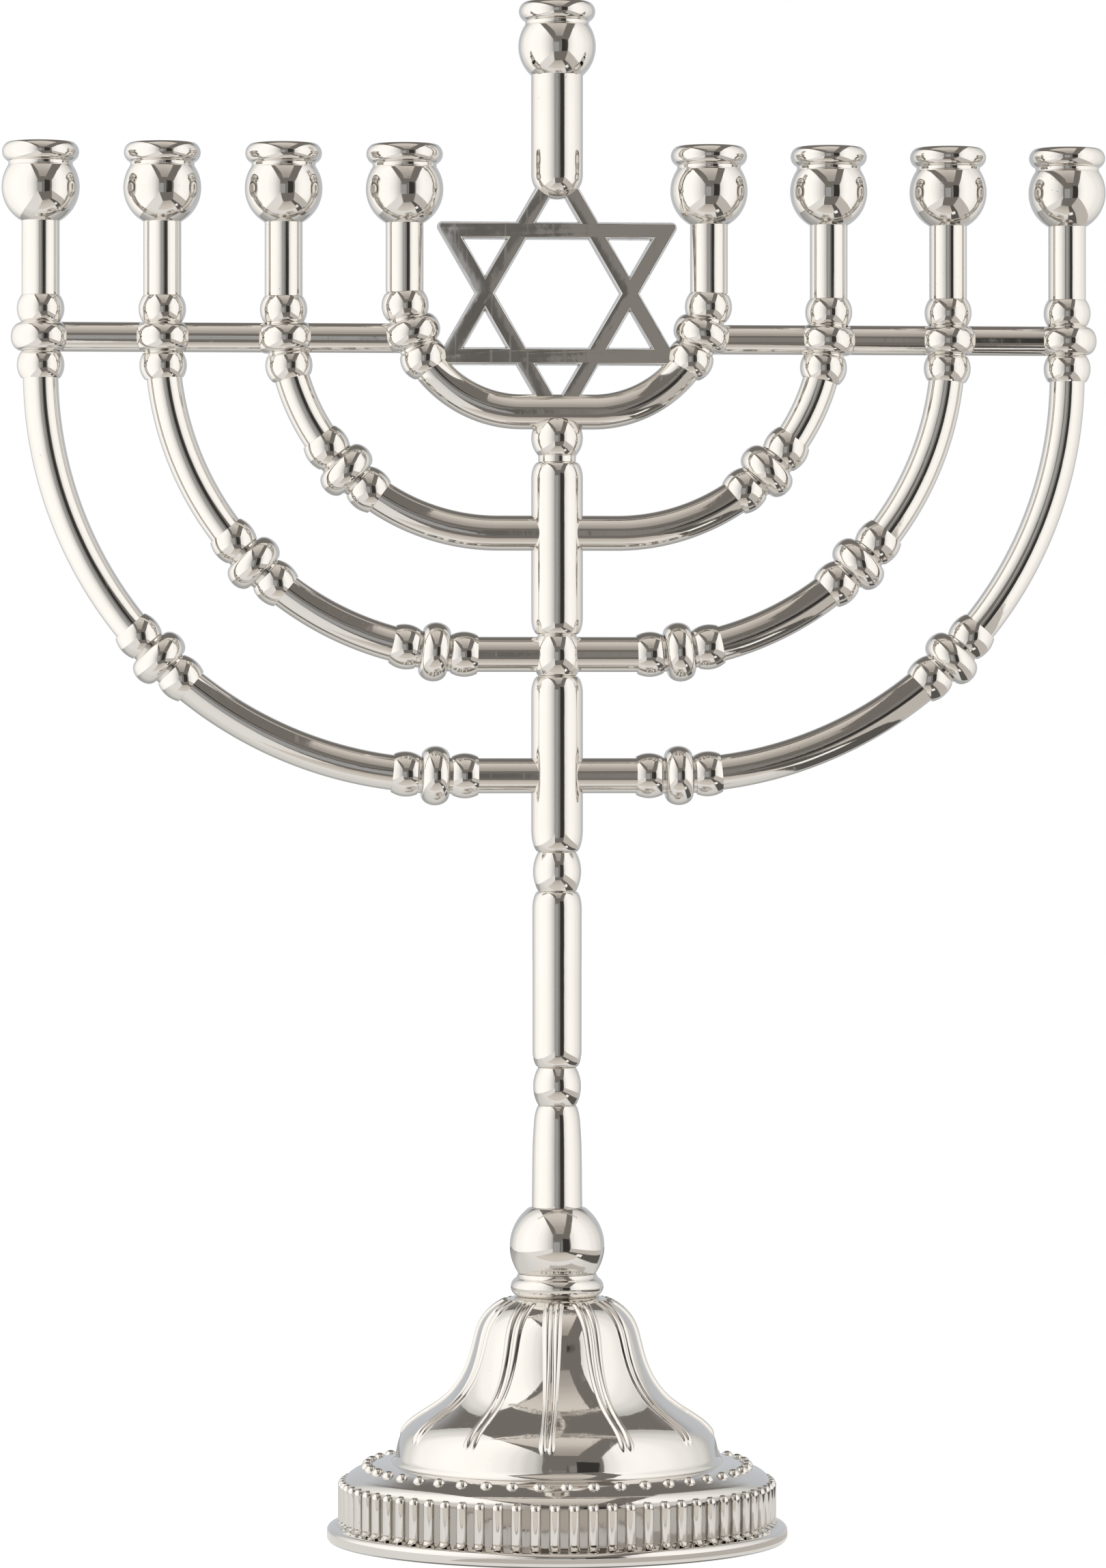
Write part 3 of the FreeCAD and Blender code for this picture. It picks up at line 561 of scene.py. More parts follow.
def bell_relief(top):
    """Functions that give the bell's column angles and the height of its ribs."""
    head_radius, foot_radius = 10.7 * MM, 30.5 * MM
    sector = 2 * math.pi / RIB_PAIRS
    reach = 2.3 * MM

    def gap(share):
        """Half the distance between the two ribs of a pair."""
        return (1.05 + (0.78 - 1.05) * min(max(share, 0), 1)) * MM

    def slimness(share):
        """Share of its full width that a rib keeps: slimmer low down, with a drop at its foot."""
        share = min(max(share, 0), 1)
        return 1 - 0.32 * math.sin(math.pi * share ** 2.2) - 0.12 * share

    def offsets(share):
        """Sideways places of the columns near a pair, dense across each rib."""
        half_width = min(RIB_HALF_WIDTH, gap(share) - 0.06 * MM)
        rib = [gap(share) + half_width * math.sin(math.pi / 2 * (i / 9 - 1)) for i in range(19)]
        inside = [rib[0] * i / 4 for i in range(1, 4)]
        outside = [rib[-1] + (reach - rib[-1]) * t for t in (0.12, 0.3, 0.6, 1.0)]
        half = inside + rib + outside
        return [-x for x in reversed(half)] + [0.0] + half

    def column_angles(point):
        """Angles that follow the ribs down the bell and share out the panels evenly."""
        shift = offsets(rib_share(point, top))
        scale = min(1.0, 0.95 * math.sin(sector / 2) * point.x / reach)
        near = [math.asin(x * scale / point.x) for x in shift]
        free = sector - 2 * near[-1]
        panel = [near[-1] + free * i / 16 for i in range(1, 16)]
        return [RIB_START_ANGLE + pair * sector + a for pair in range(RIB_PAIRS) for a in near + panel]

    def relief(point, _, angle):
        """Height of the nearest rib above the bell, with a small fillet at its foot."""
        share = rib_share(point, top)
        turn = (angle - RIB_START_ANGLE + sector / 2) % sector - sector / 2
        aside = abs(point.x * math.sin(turn)) - gap(share)
        beyond = max(head_radius - point.x, point.x - foot_radius, 0)
        half = RIB_HALF_WIDTH * slimness(share)
        rise = RIB_HEIGHT * (1 - (aside ** 2 + beyond ** 2) / half ** 2)
        if rise <= -RIB_FILLET:
            return 0.0
        return rise if rise >= RIB_FILLET else (rise + RIB_FILLET) ** 2 / (4 * RIB_FILLET)

    return column_angles, relief


def build_bell():
    """Ribbed bell with its foot rim and hollow inside."""
    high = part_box("bell")[1]
    foot = SHOULDER_TOP_Z
    outer = [Vector((33.0 * MM, foot)), Vector((32.9 * MM, foot + 0.3 * MM)),
             Vector((32.5 * MM, foot + 0.7 * MM))]
    outer += bell_outline(high.z) + [Vector((ROD_HOLE_RADIUS, high.z))]
    hole = ROD_HOLE_RADIUS / MM
    inner = [(hole, -1.4), (8.4, -1.4), (11.2, -2.9), (13.7, -5.6), (15.0, -9.3), (17.1, -15.8),
             (21.2, -21.3), (26.4, -24.8), (29.2, -27.2), (30.8, -32.7)]
    hollow = [Vector((r * MM, high.z + z * MM)) for r, z in inner]
    columns, relief = bell_relief(high.z)
    bell = displaced_lathe("bell_ribbed", outer, hollow, columns, relief)
    return dress(stand_for(bell, "bell"), NICKEL)


def plinth_outline(wall_radius, flange_radius):
    """The plinth's outer curve from under its flange up to the flat under the bell."""
    profile = Profile(flange_radius - 0.7 * MM, 0)
    profile.quarter((flange_radius, 0), (flange_radius, 0.8 * MM), 6)
    profile.to(flange_radius, FLANGE_HEIGHT - 1.1 * MM)
    profile.quarter((flange_radius, FLANGE_HEIGHT), (flange_radius - 1.2 * MM, FLANGE_HEIGHT), 8)
    profile.to(wall_radius + 1.3 * MM, FLANGE_HEIGHT + 0.3 * MM)
    profile.to(wall_radius, FLANGE_HEIGHT + 0.5 * MM)
    wall_top = 11.0 * MM
    for share in (0.0, 0.7, 0.76, 0.82, 0.88, 0.94, 1.0):
        profile.to(wall_radius, 4.2 * MM + (wall_top - 4.2 * MM) * share)
    profile.quarter((wall_radius, 12.6 * MM), (40.4 * MM, 13.5 * MM), 20)
    profile.smooth([(37.7 * MM, 14.7 * MM), (34.5 * MM, 15.45 * MM), (33.6 * MM, SHOULDER_TOP_Z)])
    profile.to(ROD_HOLE_RADIUS, SHOULDER_TOP_Z)
    return profile.points


def flute_relief(wall_radius):
    """Functions that give the plinth's column angles and the height of its flutes."""
    sector = 2 * math.pi / FLUTE_COUNT
    dome_z = FLUTE_TOP_Z - FLUTE_RADIUS

    def column_angles(point):
        """Columns evenly round each flute's bow and across the flat between."""
        edge = FLUTE_RADIUS / wall_radius
        bow = [edge * math.sin(math.pi / 2 * (i / 7 - 1)) for i in range(15)]
        free = sector - 2 * edge
        flat = [edge + free * i / 4 for i in range(1, 4)]
        return [flute * sector + a for flute in range(FLUTE_COUNT) for a in bow + flat]

    def relief(point, outward, angle):
        """How far the nearest flute, or its domed top, stands out from the plinth's surface."""
        if point.y < FLANGE_HEIGHT + 0.4 * MM or point.x < FLUTE_INNER_LIMIT:
            return 0.0
        turn = (angle + sector / 2) % sector - sector / 2
        aside = wall_radius * math.sin(turn)
        start = point - Vector((wall_radius, min(point.y, dome_z)))
        ahead = start.dot(outward)
        left = ahead ** 2 - start.length_squared - aside ** 2 + FLUTE_RADIUS ** 2
        return max(math.sqrt(left) - ahead, 0) if left > 0 else 0.0

    return column_angles, relief


def bead_shell(radius, spot, rings=10, segments=24):
    """Vertices and faces of one small round bead."""
    around = []
    for row in range(1, rings):
        angle = math.pi * row / rings - math.pi / 2
        ring = round_ring(radius * math.cos(angle), radius * math.sin(angle), segments)
        around.append([Vector(v) + spot for v in ring])
    poles = [spot - Vector((0, 0, radius)), spot + Vector((0, 0, radius))]
    return skin(around, poles[0], poles[1])


def build_plinth():
    """Fluted plinth with its ring of beads."""
    low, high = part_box("foot_plinth")
    flange = (high.x - low.x) / 2
    wall = flange - FLANGE_OVERHANG
    outer = plinth_outline(wall, flange)
    inner = [(ROD_HOLE_RADIUS / MM, 14.0), (33.0, 14.0), (39.0, 12.3), (41.0, 10.5), (41.0, 1.2),
             (43.0, 1.2), (43.0, 0)]
    hollow = [Vector((r * MM, z * MM)) for r, z in inner]
    columns, relief = flute_relief(wall)
    plinth = displaced_lathe("foot_plinth_fluted", outer, hollow, columns, relief)
    # This nickel has painted shade on the wall between the flutes.
    fluted_nickel = nickel_plate("nickel_plate_flutes", (wall, FLANGE_HEIGHT, FLUTE_TOP_Z))
    dress(stand_for(plinth, "foot_plinth"), fluted_nickel)
    vertices, faces = [], []
    for index in range(DOT_COUNT):
        angle = DOT_START_ANGLE + 2 * math.pi * index / DOT_COUNT
        spot = Vector((DOT_RING_RADIUS * math.sin(angle), -DOT_RING_RADIUS * math.cos(angle),
                       DOT_CENTRE_Z))
        more, sides = bead_shell(DOT_RADIUS, spot)
        faces += [tuple(i + len(vertices) for i in side) for side in sides]
        vertices += more
    dots = mesh_object("foot_beads", vertices, faces)
    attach(dots, "root")
    return dress(dots, NICKEL)


# Arms -----------------------------------------------------

def branch_x(branch):
    """Distance of a branch from the column."""
    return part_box("arm_%d" % branch)[1].x - ARM_RADIUS


def arm_place(branch, along, side=1):
    """Point on an arm's centre line and the direction up along it.

    The distance is counted from the upper end of the bend, upwards positive.
    """
    bend = ARM_BEND[branch]
    centre_x = branch_x(branch) - bend
    centre_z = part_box("arm_%d" % branch)[0].z + ARM_RADIUS + bend
    if along >= 0:
        point, upward = Vector((centre_x + bend, 0, centre_z + along)), Vector((0, 0, 1))
    else:
        turn = min(-along / bend, math.pi / 2)
        level = -along - turn * bend
        point = Vector((centre_x + bend * math.cos(turn) - level, 0,
                        centre_z - bend * math.sin(turn)))
        upward = Vector((math.sin(turn), 0, math.cos(turn)))
    point.x *= side
    upward.x *= side
    return point, upward


def cross_ring(point, direction, radius, segments):
    """Circle of points square to a direction in the XZ plane."""
    across = Vector((direction.z, 0, -direction.x))
    depth = Vector((0, 1, 0))
    turn = 2 * math.pi / segments
    return [point + radius * (across * math.cos(i * turn) + depth * math.sin(i * turn))
            for i in range(segments)]


def arm_stations(branch):
    """Distances along the right half of an arm, from its end down to the column."""
    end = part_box("arm_%d" % branch)[1].z
    bend = ARM_BEND[branch]
    top = end - (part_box("arm_%d" % branch)[0].z + ARM_RADIUS + bend)
    if top < 0:
        top = -bend * math.asin(-top / bend)
    bottom = -bend * math.pi / 2 - (branch_x(branch) - bend)
    count = math.ceil((top - bottom) / ARM_STEP)
    return [top + (bottom - top) * i / count for i in range(count + 1)]


def build_arm(branch):
    """One U-shaped rod from end to end."""
    stations = arm_stations(branch)
    path = [arm_place(branch, along) for along in stations]
    path += [arm_place(branch, along, -1) for along in reversed(stations[:-1])]
    rings = []
    for index, (point, upward) in enumerate(path):
        direction = upward if index < len(stations) else -upward
        rings.append(cross_ring(point, direction, ARM_RADIUS, 64))
    name = "arm_%d" % branch
    rod = mesh_object(name + "_rod", *skin(rings, path[0][0], path[-1][0]))
    return dress(stand_for(rod, name), NICKEL)


def bow_profile(half, end_radius, middle_radius, steps):
    """Offsets and radii of a bead whose side is part of a circle."""
    rise = middle_radius - end_radius
    radius = (half ** 2 + rise ** 2) / (2 * rise)
    swing = math.asin(half / radius)
    angles = [swing * (2 * i / steps - 1) for i in range(steps + 1)]
    return [(radius * math.sin(a), middle_radius - radius * (1 - math.cos(a))) for a in angles]


def disc_profile(steps=24):
    """Offsets and radii of a knop's disc with its half-oval rim."""
    angles = [math.pi * (i / steps - 0.5) for i in range(steps + 1)]
    rise = DISC_RADIUS - KNOP_END_RADIUS
    return [(DISC_HALF_LENGTH * math.sin(a), KNOP_END_RADIUS + rise * math.cos(a)) for a in angles]


def build_knop(node, branch, along, side, pitch, bead_radius):
    """Bead, disc and bead as one sleeve on an arm."""
    bead = bow_profile(BEAD_HALF_LENGTH, KNOP_END_RADIUS, bead_radius, 18)
    neck_step = (pitch - BEAD_HALF_LENGTH + DISC_HALF_LENGTH) / 2
    neck = [(-0.25 * MM, KNOP_NECK_RADIUS), (0.25 * MM, KNOP_NECK_RADIUS)]
    blocks = [(-pitch, bead), (-neck_step, neck), (0.0, disc_profile()), (neck_step, neck),
              (pitch, bead)]
    reach = pitch + BEAD_HALF_LENGTH
    bore = [(reach * (1 - 2 * i / 8), [(0.0, KNOP_BORE_RADIUS)]) for i in range(9)]
    rings = []
    for centre, outline in blocks + bore:
        spot, upward = arm_place(branch, along + centre, side)
        for offset, radius in outline:
            rings.append(cross_ring(spot + upward * offset, upward, radius, 64))
    sleeve = mesh_object(node + "_sleeve", *skin(rings, loop=True))
    return dress(stand_for(sleeve, node), NICKEL)


def along_at_height(branch, z):
    """Distance along an arm of the point at a given height."""
    bend = ARM_BEND[branch]
    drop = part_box("arm_%d" % branch)[0].z + ARM_RADIUS + bend - z
    return -drop if drop <= 0 else -bend * math.asin(drop / bend)


def build_knops():
    """All sleeves on both sides."""
    for word, side in SIDES.items():
        for branch in BRANCHES:
            node = "knop_top_%s_%d" % (word, branch)
            end = along_at_height(branch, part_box("arm_%d" % branch)[1].z)
            along = end - TOP_KNOP_PITCH - BEAD_HALF_LENGTH
            build_knop(node, branch, along, side, TOP_KNOP_PITCH, TOP_BEAD_RADIUS)
        for row, branches in (("mid", (2, 3, 4)), ("low", (3, 4))):
            for branch in branches:
                node = "knop_%s_%s_%d" % (row, word, branch)
                low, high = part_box(node)
                middle = (low + high) / 2
                bend = ARM_BEND[branch]
                centre_x = branch_x(branch) - bend
                centre_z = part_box("arm_%d" % branch)[0].z + ARM_RADIUS + bend
                turn = math.atan2(centre_z - middle.z, abs(middle.x) - centre_x)
                build_knop(node, branch, -turn * bend, side, LOW_KNOP_PITCH, LOW_BEAD_RADIUS)


def build_crossbars():
    """Stays between the branches, let into the discs at both ends."""
    for word in SIDES:
        for inner in (1, 2, 3):
            node = "crossbar_%s_%d" % (word, inner)
            low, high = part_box(node)
            radius = (high.z - low.z) / 2
            height = (high.z + low.z) / 2
            count = 24
            rings = []
            for i in range(count + 1):
                spot = Vector((low.x + (high.x - low.x) * i / count, 0, height))
                rings.append(cross_ring(spot, Vector((1, 0, 0)), radius, 64))
            ends = [Vector((low.x, 0, height)), Vector((high.x, 0, height))]
            bar = mesh_object(node + "_bar", *skin(rings, ends[0], ends[1]))
            dress(stand_for(bar, node), NICKEL)


# Cups -----------------------------------------------------

def cup_top(profile, rim, pipe_radius):
    """Continue a profile up the globe, over the lip and down into the candle hole."""
    globe = rim - GLOBE_DROP
    profile.to(pipe_radius, globe - math.sqrt(GLOBE_RADIUS ** 2 - pipe_radius ** 2))
    neck = globe + math.sqrt(GLOBE_RADIUS ** 2 - CUP_NECK_RADIUS ** 2)
    profile.arc((GLOBE_RADIUS, globe), (CUP_NECK_RADIUS, neck), 48)
    profile.to(CUP_NECK_RADIUS, rim - LIP_NECK_DROP)
    profile.arc((LIP_RADIUS, rim - LIP_DROP), (CUP_RIM_RADIUS, rim))
    profile.to(CANDLE_RADIUS + 0.6 * MM, rim)
    profile.quarter((CANDLE_RADIUS, rim), (CANDLE_RADIUS, rim - 0.6 * MM), 6)
    profile.to(CANDLE_RADIUS, rim - CANDLE_DEPTH)
    profile.to(0, rim - CANDLE_DEPTH)
    return profile


def build_cups():
    """Eight branch cups and the raised middle cup."""
    for word, side in SIDES.items():
        for branch in BRANCHES:
            node = "cup_%s_%d" % (word, branch)
            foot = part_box("arm_%d" % branch)[1].z
            profile = Profile(0, foot).to(BRANCH_PIPE_RADIUS, foot)
            cup_top(profile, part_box(node)[1].z, BRANCH_PIPE_RADIUS)
            cup = lathe(node + "_turned", profile, 128, side * branch_x(branch))
            dress(stand_for(cup, node), NICKEL)
    low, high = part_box("cup_shamash")
    profile = Profile(0, low.z)
    profile.quarter((SHAMASH_PIPE_RADIUS, low.z),
                    (SHAMASH_PIPE_RADIUS, low.z + SHAMASH_PIPE_ROUND), 16)
    cup_top(profile, high.z, SHAMASH_PIPE_RADIUS)
    dress(stand_for(lathe("cup_shamash_turned", profile, 144), "cup_shamash"), NICKEL)


# Star -----------------------------------------------------

STAR_CENTRE_Z = 247.4 * MM
STAR_BAR = 3.6 * MM
STAR_TIP_ROUND = 1.1 * MM
STAR_DRAFT = 0.35 * MM
STAR_EDGE = 0.22 * MM
STAR_TIP_ALLOWANCE = 0.2 * MM


def star_point(distance, angle, centre_z):
    """Point of the star's plane at a distance from its centre; angle 0 points up."""
    return distance * math.sin(angle), centre_z + distance * math.cos(angle)


def star_loops(reach, inset, centre_z):
    """Outer outline and seven openings of the star, narrowed by an inset on every side."""
    outer_line = reach / 2 - inset
    inner_line = reach / 2 - STAR_BAR + inset
    round_radius = STAR_TIP_ROUND - inset
    outline, openings = [], []
    for index in range(6):
        angle = math.pi / 3 * index
        tip = 2 * outer_line - 2 * round_radius
        for step in range(9):
            swing = math.radians(60) * (step / 4 - 1)
            x, z = star_point(tip, angle, centre_z)
            outline.append((x + round_radius * math.sin(angle + swing),
                            z + round_radius * math.cos(angle + swing)))
        outline.append(star_point(outer_line * 2 / math.sqrt(3), angle + math.pi / 6, centre_z))
    middle_reach = inner_line * 2 / math.sqrt(3)
    openings.append([star_point(middle_reach, math.pi / 3 * index + math.pi / 6, centre_z)
                     for index in range(6)])
    half_base = (2 * inner_line - outer_line) * math.tan(math.pi / 6)
    for index in range(6):
        angle = math.pi / 3 * index
        apex = star_point(2 * inner_line, angle, centre_z)
        along = Vector((math.cos(angle), -math.sin(angle)))
        base = Vector(star_point(outer_line, angle, centre_z))
        openings.append([apex, tuple(base + along * half_base), tuple(base - along * half_base)])
    return [outline] + openings


def build_star():
    """Plate of two crossed triangles with drafted sides and softened edges."""
    low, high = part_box("star")
    reach = (high.x - low.x) / math.sqrt(3) + STAR_TIP_ALLOWANCE
    half = (high.y - low.y) / 2
    layers = [(-half, STAR_DRAFT + STAR_EDGE)]
    for step in range(1, 4):
        angle = math.pi / 2 * step / 3
        layers.append((-half + STAR_EDGE * (1 - math.cos(angle)),
                       STAR_DRAFT + STAR_EDGE * (1 - math.sin(angle))))
    layers += [(0.0, 0.0)]
    layers += [(-y, inset) for y, inset in reversed(layers[:-1])]
    stacks = [star_loops(reach, inset, STAR_CENTRE_Z) for _, inset in layers]
    vertices, faces = [], []
    starts = []
    for loops, (y, _) in zip(stacks, layers):
        starts.append([])
        for loop in loops:
            starts[-1].append(len(vertices))
            vertices += [(x, y, z) for x, z in loop]
    for row in range(len(layers) - 1):
        for part, loop in enumerate(stacks[row]):
            count = len(loop)
            for i in range(count):
                j = (i + 1) % count
                faces.append((starts[row][part] + i, starts[row][part] + j,
                              starts[row + 1][part] + j, starts[row + 1][part] + i))
    for row in (0, len(layers) - 1):
        flat = [[Vector((x, z, 0)) for x, z in loop] for loop in stacks[row]]
        for triangle in tessellate_polygon(flat):
            faces.append(tuple(starts[row][0] + i for i in triangle))
    plate = mesh_object("star_plate", vertices, faces, math.radians(30))
    plate.modifiers.new("flat_faces", "WEIGHTED_NORMAL").keep_sharp = True
    return dress(stand_for(plate, "star"), NICKEL)


# Hidden hardware ------------------------------------------

def dress_hardware():
    """CAD pieces that keep their own mesh."""
    for node in ("tie_rod", "tie_washer", "tie_nut"):
        dress(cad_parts[node], STEEL)
    dress(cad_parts["base_cover"], RUBBER)


# Studio ---------------------------------------------------

CAMERA_DISTANCE = 1.252
CAMERA_HEIGHT = 0.163
CAMERA_TURN = math.radians(-4.4)
CAMERA_LENS = 144.6
CAMERA_SHIFT = (-0.0026, -0.0419)
TOWARDS_CAMERA = Vector((math.sin(CAMERA_TURN), -math.cos(CAMERA_TURN), 0))
TO_THE_RIGHT = Vector((math.cos(CAMERA_TURN), math.sin(CAMERA_TURN), 0))


def studio_point(right, height, towards):
    """A point given from the camera's side of the table: right, up, and towards the camera."""
    return TO_THE_RIGHT * right + TOWARDS_CAMERA * towards + Vector((0, 0, height))


def build_camera():
    """Level camera before the object, a little to the left of straight on."""
    data = bpy.data.cameras.new("camera")
    data.sensor_width = 36.0
    data.lens = CAMERA_LENS
    data.shift_x, data.shift_y = CAMERA_SHIFT
    data.clip_start, data.clip_end = 0.05, 50.0
    camera = bpy.data.objects.new("camera", data)
    camera.location = studio_point(0, CAMERA_HEIGHT, CAMERA_DISTANCE)
    camera.rotation_euler = (math.pi / 2, 0, CAMERA_TURN)
    bpy.context.scene.collection.objects.link(camera)
    bpy.context.scene.camera = camera


def glow(name, colour, fading):
    """Light-giving material whose strength follows the distance towards the camera.

    The fading is a list of (distance, strength) pairs.
    """
    shader = Shader(name)
    place = shader.node("SeparateXYZ", {0: (shader.node("TexCoord"), "Object")})
    near, far = fading[-1][0], fading[0][0]
    share = shader.node("MapRange", {"Value": (place, "Y"), "From Min": -far, "From Max": -near,
                                     "To Min": 0.0, "To Max": 1.0})
    ramp = shader.node("ValToRGB", {"Fac": (share, "Result")})
    ramp.color_ramp.interpolation = "EASE"
    elements = ramp.color_ramp.elements
    for distance, _ in fading[1:-1]:
        elements.new((distance - far) / (near - far))
    for element, (_, strength) in zip(elements, fading):
        level_of_grey = strength / GLOW_PEAK
        element.color = (level_of_grey, level_of_grey, level_of_grey, 1)
    power = shader.node("Math", {0: (ramp, "Color"), 1: GLOW_PEAK}, operation="MULTIPLY")
    light = shader.node("Emission", {"Color": (*colour, 1), "Strength": (power, "Value")})
    output = shader.tree.nodes["Material Output"]
    shader.tree.links.new(light.outputs[0], output.inputs["Surface"])
    return shader.material


def card(name, corners, faces, colour, fading):
    """Studio panel, seen only in reflections and as light; corners are (right, towards, height)."""
    mesh = bpy.data.meshes.new(name)
    mesh.from_pydata([(x, -towards, height) for x, towards, height in corners], [], faces)
    panel = bpy.data.objects.new(name, mesh)
    bpy.context.scene.collection.objects.link(panel)
    panel.rotation_euler.z = CAMERA_TURN
    panel.data.materials.append(glow(name, colour, fading))
    panel.visible_camera = False
    panel.visible_shadow = False
    panel.visible_diffuse = False
    return panel


def wall(name, stations, colour, fading):
    """Upright panel along places on the table, each (right, towards, bottom, top)."""
    corners = [(x, towards, bottom) for x, towards, bottom, _ in stations]
    corners += [(x, towards, top) for x, towards, _, top in stations]
    count = len(stations)
    faces = [(i, i + 1, count + i + 1, count + i) for i in range(count - 1)]
    return card(name, corners, faces, colour, fading)


def level(name, places, height, colour, fading):
    """Level panel through places (right, towards) at one height."""
    corners = [(x, towards, height) for x, towards in places]
    return card(name, corners, [tuple(range(len(places)))], colour, fading)


def even(strength):
    """Fading that keeps one strength."""
    return [(-1.0, strength), (1.0, strength)]


GLOW_PEAK = 1.5
WHITE = (1.0, 0.995, 0.98)
ROOM_BEIGE = (1.0, 0.94, 0.87)
ROOM_GREY = (1.0, 0.95, 0.90)
PANEL_GREY = (0.96, 0.98, 1.0)
ROOM_DISTANCE = 3.0
ROOM_BOTTOM = -0.75
DIM_ROOM = (0.205, 0.190, 0.176, 1)
BACKDROP = (0.60, 0.625, 0.66, 1)


def room_strip(name, left, right, top, colour, strength):
    """Part of the far side of the room, behind the camera."""
    stations = [(x, ROOM_DISTANCE, ROOM_BOTTOM, top) for x in (left, right)]
    return wall(name, stations, colour, even(strength))


def build_studio():
    """Two fading diffusers, ceiling, the far side of the room, and the white table."""
    wall("diffuser_left", [(-0.174, 0.95, 0.0, 0.56), (-0.294, 0.046, 0.0, 0.70),
                           (-0.346, -0.471, 0.0, 0.70)], WHITE,
         [(-0.47, 0.66), (-0.26, 0.92), (-0.11, 1.22), (0.05, 1.33), (0.20, 1.29), (0.31, 1.18),
          (0.42, 1.03), (0.60, 0.80), (0.95, 0.50)])
    wall("diffuser_right", [(0.62, 0.93, 0.0, 0.58), (0.47, 0.30, 0.0, 0.78),
                            (0.378, -0.07, 0.0, 0.80), (0.30, -0.36, 0.0, 0.75)], WHITE,
         [(-0.36, 0.60), (-0.20, 0.88), (-0.07, 1.06), (0.10, 1.22), (0.26, 1.26), (0.42, 1.22),
          (0.66, 1.06), (0.93, 0.90)])
    level("ceiling", [(-0.47, 0.1), (-0.16, 1.03), (-0.06, 1.75), (0.53, 1.72), (0.36, 0.1),
                      (0.34, -0.08), (-0.50, -0.08)], 1.16, ROOM_BEIGE,
          [(-0.08, 0.80), (0.1, 0.78), (0.27, 0.74), (0.46, 0.67), (0.68, 0.58), (0.97, 0.49),
           (1.39, 0.43), (1.75, 0.40)])
    room_strip("room_panel", -0.53, 0.36, 0.75, PANEL_GREY, 0.42)
    room_strip("room_dark", 0.36, 0.46, 0.95, ROOM_GREY, 0.14)
    room_strip("room_middle", 0.46, 0.75, 0.95, ROOM_GREY, 0.27)
    room_strip("photographer", 0.75, 1.80, 1.25, ROOM_GREY, 0.045)
    level("table_white", [(-0.346, -0.471), (-0.294, 0.046), (-0.174, 0.95), (-0.05, 0.275),
                          (-0.13, 0.09), (0.11, 0.09), (0.11, -0.1), (0.28, -0.6), (-0.36, -0.6)],
          0.0004, WHITE,
          [(-0.6, 0.30), (-0.2, 0.48), (-0.05, 0.78), (0.09, 0.93), (0.95, 0.80)])
    level("table_beige", [(-0.05, 0.275), (0.10, 0.275), (0.13, 0.09), (-0.13, 0.09)],
          0.0008, ROOM_BEIGE, [(0.09, 0.78), (0.275, 0.55)])
    level("table_grey_right", [(0.16, 0.28), (0.62, 0.93), (0.378, -0.07), (0.30, -0.36), (0.20, -0.2),
                               (0.20, 0.12)], 0.0008, ROOM_GREY, even(0.62))
    level("table_gap_right", [(0.10, 0.275), (0.16, 0.28), (0.20, 0.12), (0.20, -0.2), (0.11, -0.1),
                              (0.11, 0.09)], 0.0006, ROOM_GREY, even(0.12))
    level("table_near", [(-0.02, 0.03), (-0.022, 0.062), (0.05, 0.062), (0.075, 0.0),
                         (0.03, -0.02)], 0.0010, ROOM_GREY, even(0.58))
    level("table_square", [(0.12, 0.12), (0.165, 0.13), (0.17, 0.08), (0.125, 0.07)],
          0.0012, WHITE, even(1.15))


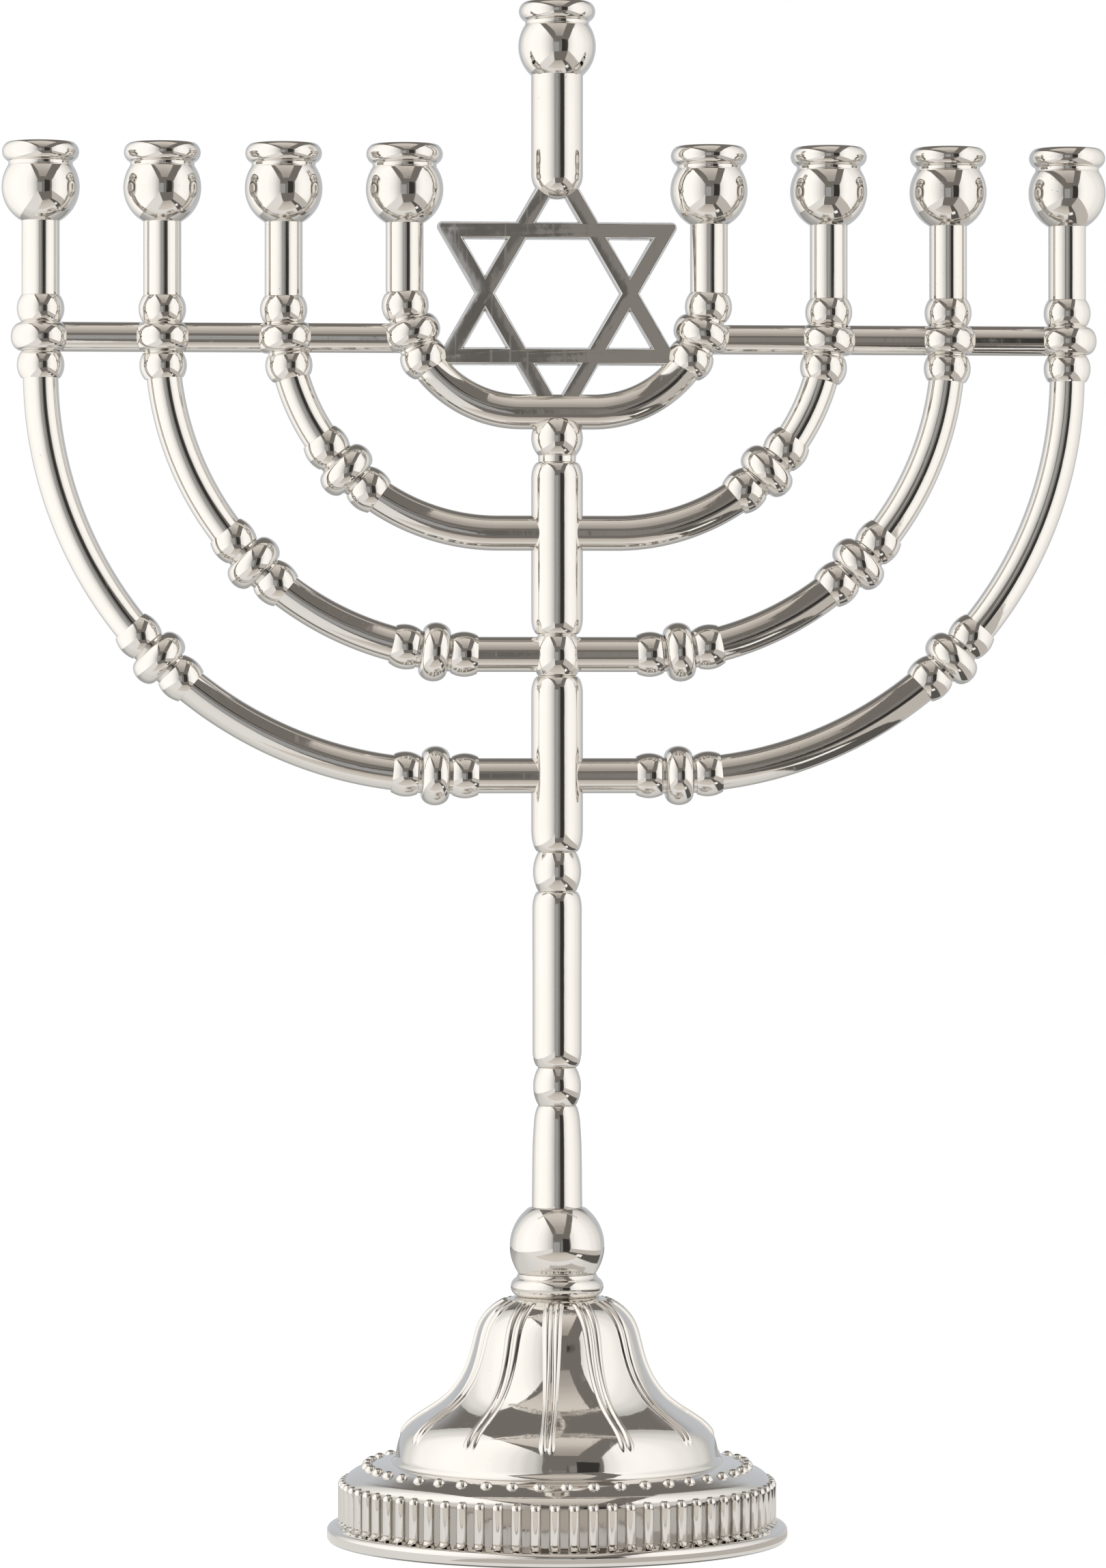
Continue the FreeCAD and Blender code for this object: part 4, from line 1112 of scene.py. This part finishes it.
def build_floor():
    """Plain white floor that keeps its brightness away from the object."""
    shader = Shader("floor_paper")
    place = (shader.node("TexCoord"), "Object")
    grain = shader.noise(place, 400.0, 3.0)
    tone = shader.node("MixRGB", {"Fac": (grain, "Fac"), "Color1": (0.86, 0.86, 0.86, 1),
                                  "Color2": (0.82, 0.82, 0.82, 1)})
    shader.feed(shader.surface, {"Base Color": (tone, "Color"), "Roughness": 0.6,
                                 "Specular IOR Level": 0.0,
                                 "Emission Color": (1.0, 0.995, 0.985, 1.0),
                                 "Emission Strength": 1.05})
    grid = bmesh.new()
    bmesh.ops.create_grid(grid, x_segments=40, y_segments=40, size=3.0)
    mesh = bpy.data.meshes.new("floor")
    grid.to_mesh(mesh)
    grid.free()
    floor = bpy.data.objects.new("floor", mesh)
    bpy.context.scene.collection.objects.link(floor)
    floor.location.z = -0.0001
    dress(floor, shader.material)
    floor.visible_glossy = False


def build_world():
    """White to the camera; in reflections a dim room with a grey-white backdrop low behind."""
    world = bpy.data.worlds.new("studio")
    bpy.context.scene.world = world
    world.use_nodes = True
    tree = world.node_tree
    nodes, links = tree.nodes, tree.links
    direction = nodes.new("ShaderNodeTexCoord")
    split = nodes.new("ShaderNodeSeparateXYZ")
    links.new(direction.outputs["Generated"], split.inputs[0])
    backdrop = nodes.new("ShaderNodeMath")
    backdrop.operation = "MULTIPLY"
    limits = (("Y", 0.45, 0.60, 0.0, 1.0), ("Z", 0.36, 0.66, 1.0, 0.0))
    for place, (axis, low, high, before, after) in enumerate(limits):
        step = nodes.new("ShaderNodeMapRange")
        step.interpolation_type = "SMOOTHSTEP"
        links.new(split.outputs[axis], step.inputs["Value"])
        step.inputs["From Min"].default_value = low
        step.inputs["From Max"].default_value = high
        step.inputs["To Min"].default_value = before
        step.inputs["To Max"].default_value = after
        links.new(step.outputs["Result"], backdrop.inputs[place])
    room = nodes.new("ShaderNodeMixRGB")
    links.new(backdrop.outputs[0], room.inputs["Fac"])
    room.inputs["Color1"].default_value = DIM_ROOM
    room.inputs["Color2"].default_value = BACKDROP
    eye = nodes.new("ShaderNodeLightPath")
    view = nodes.new("ShaderNodeMixRGB")
    links.new(eye.outputs["Is Camera Ray"], view.inputs["Fac"])
    links.new(room.outputs[0], view.inputs["Color1"])
    view.inputs["Color2"].default_value = (1, 1, 1, 1)
    links.new(view.outputs[0], nodes["Background"].inputs["Color"])


build_stem()
build_bell()
build_plinth()
for branch in BRANCHES:
    build_arm(branch)
build_knops()
build_crossbars()
build_cups()
build_star()
dress_hardware()
build_floor()
build_studio()
build_world()
build_camera()
bpy.context.scene.view_settings.view_transform = "Standard"
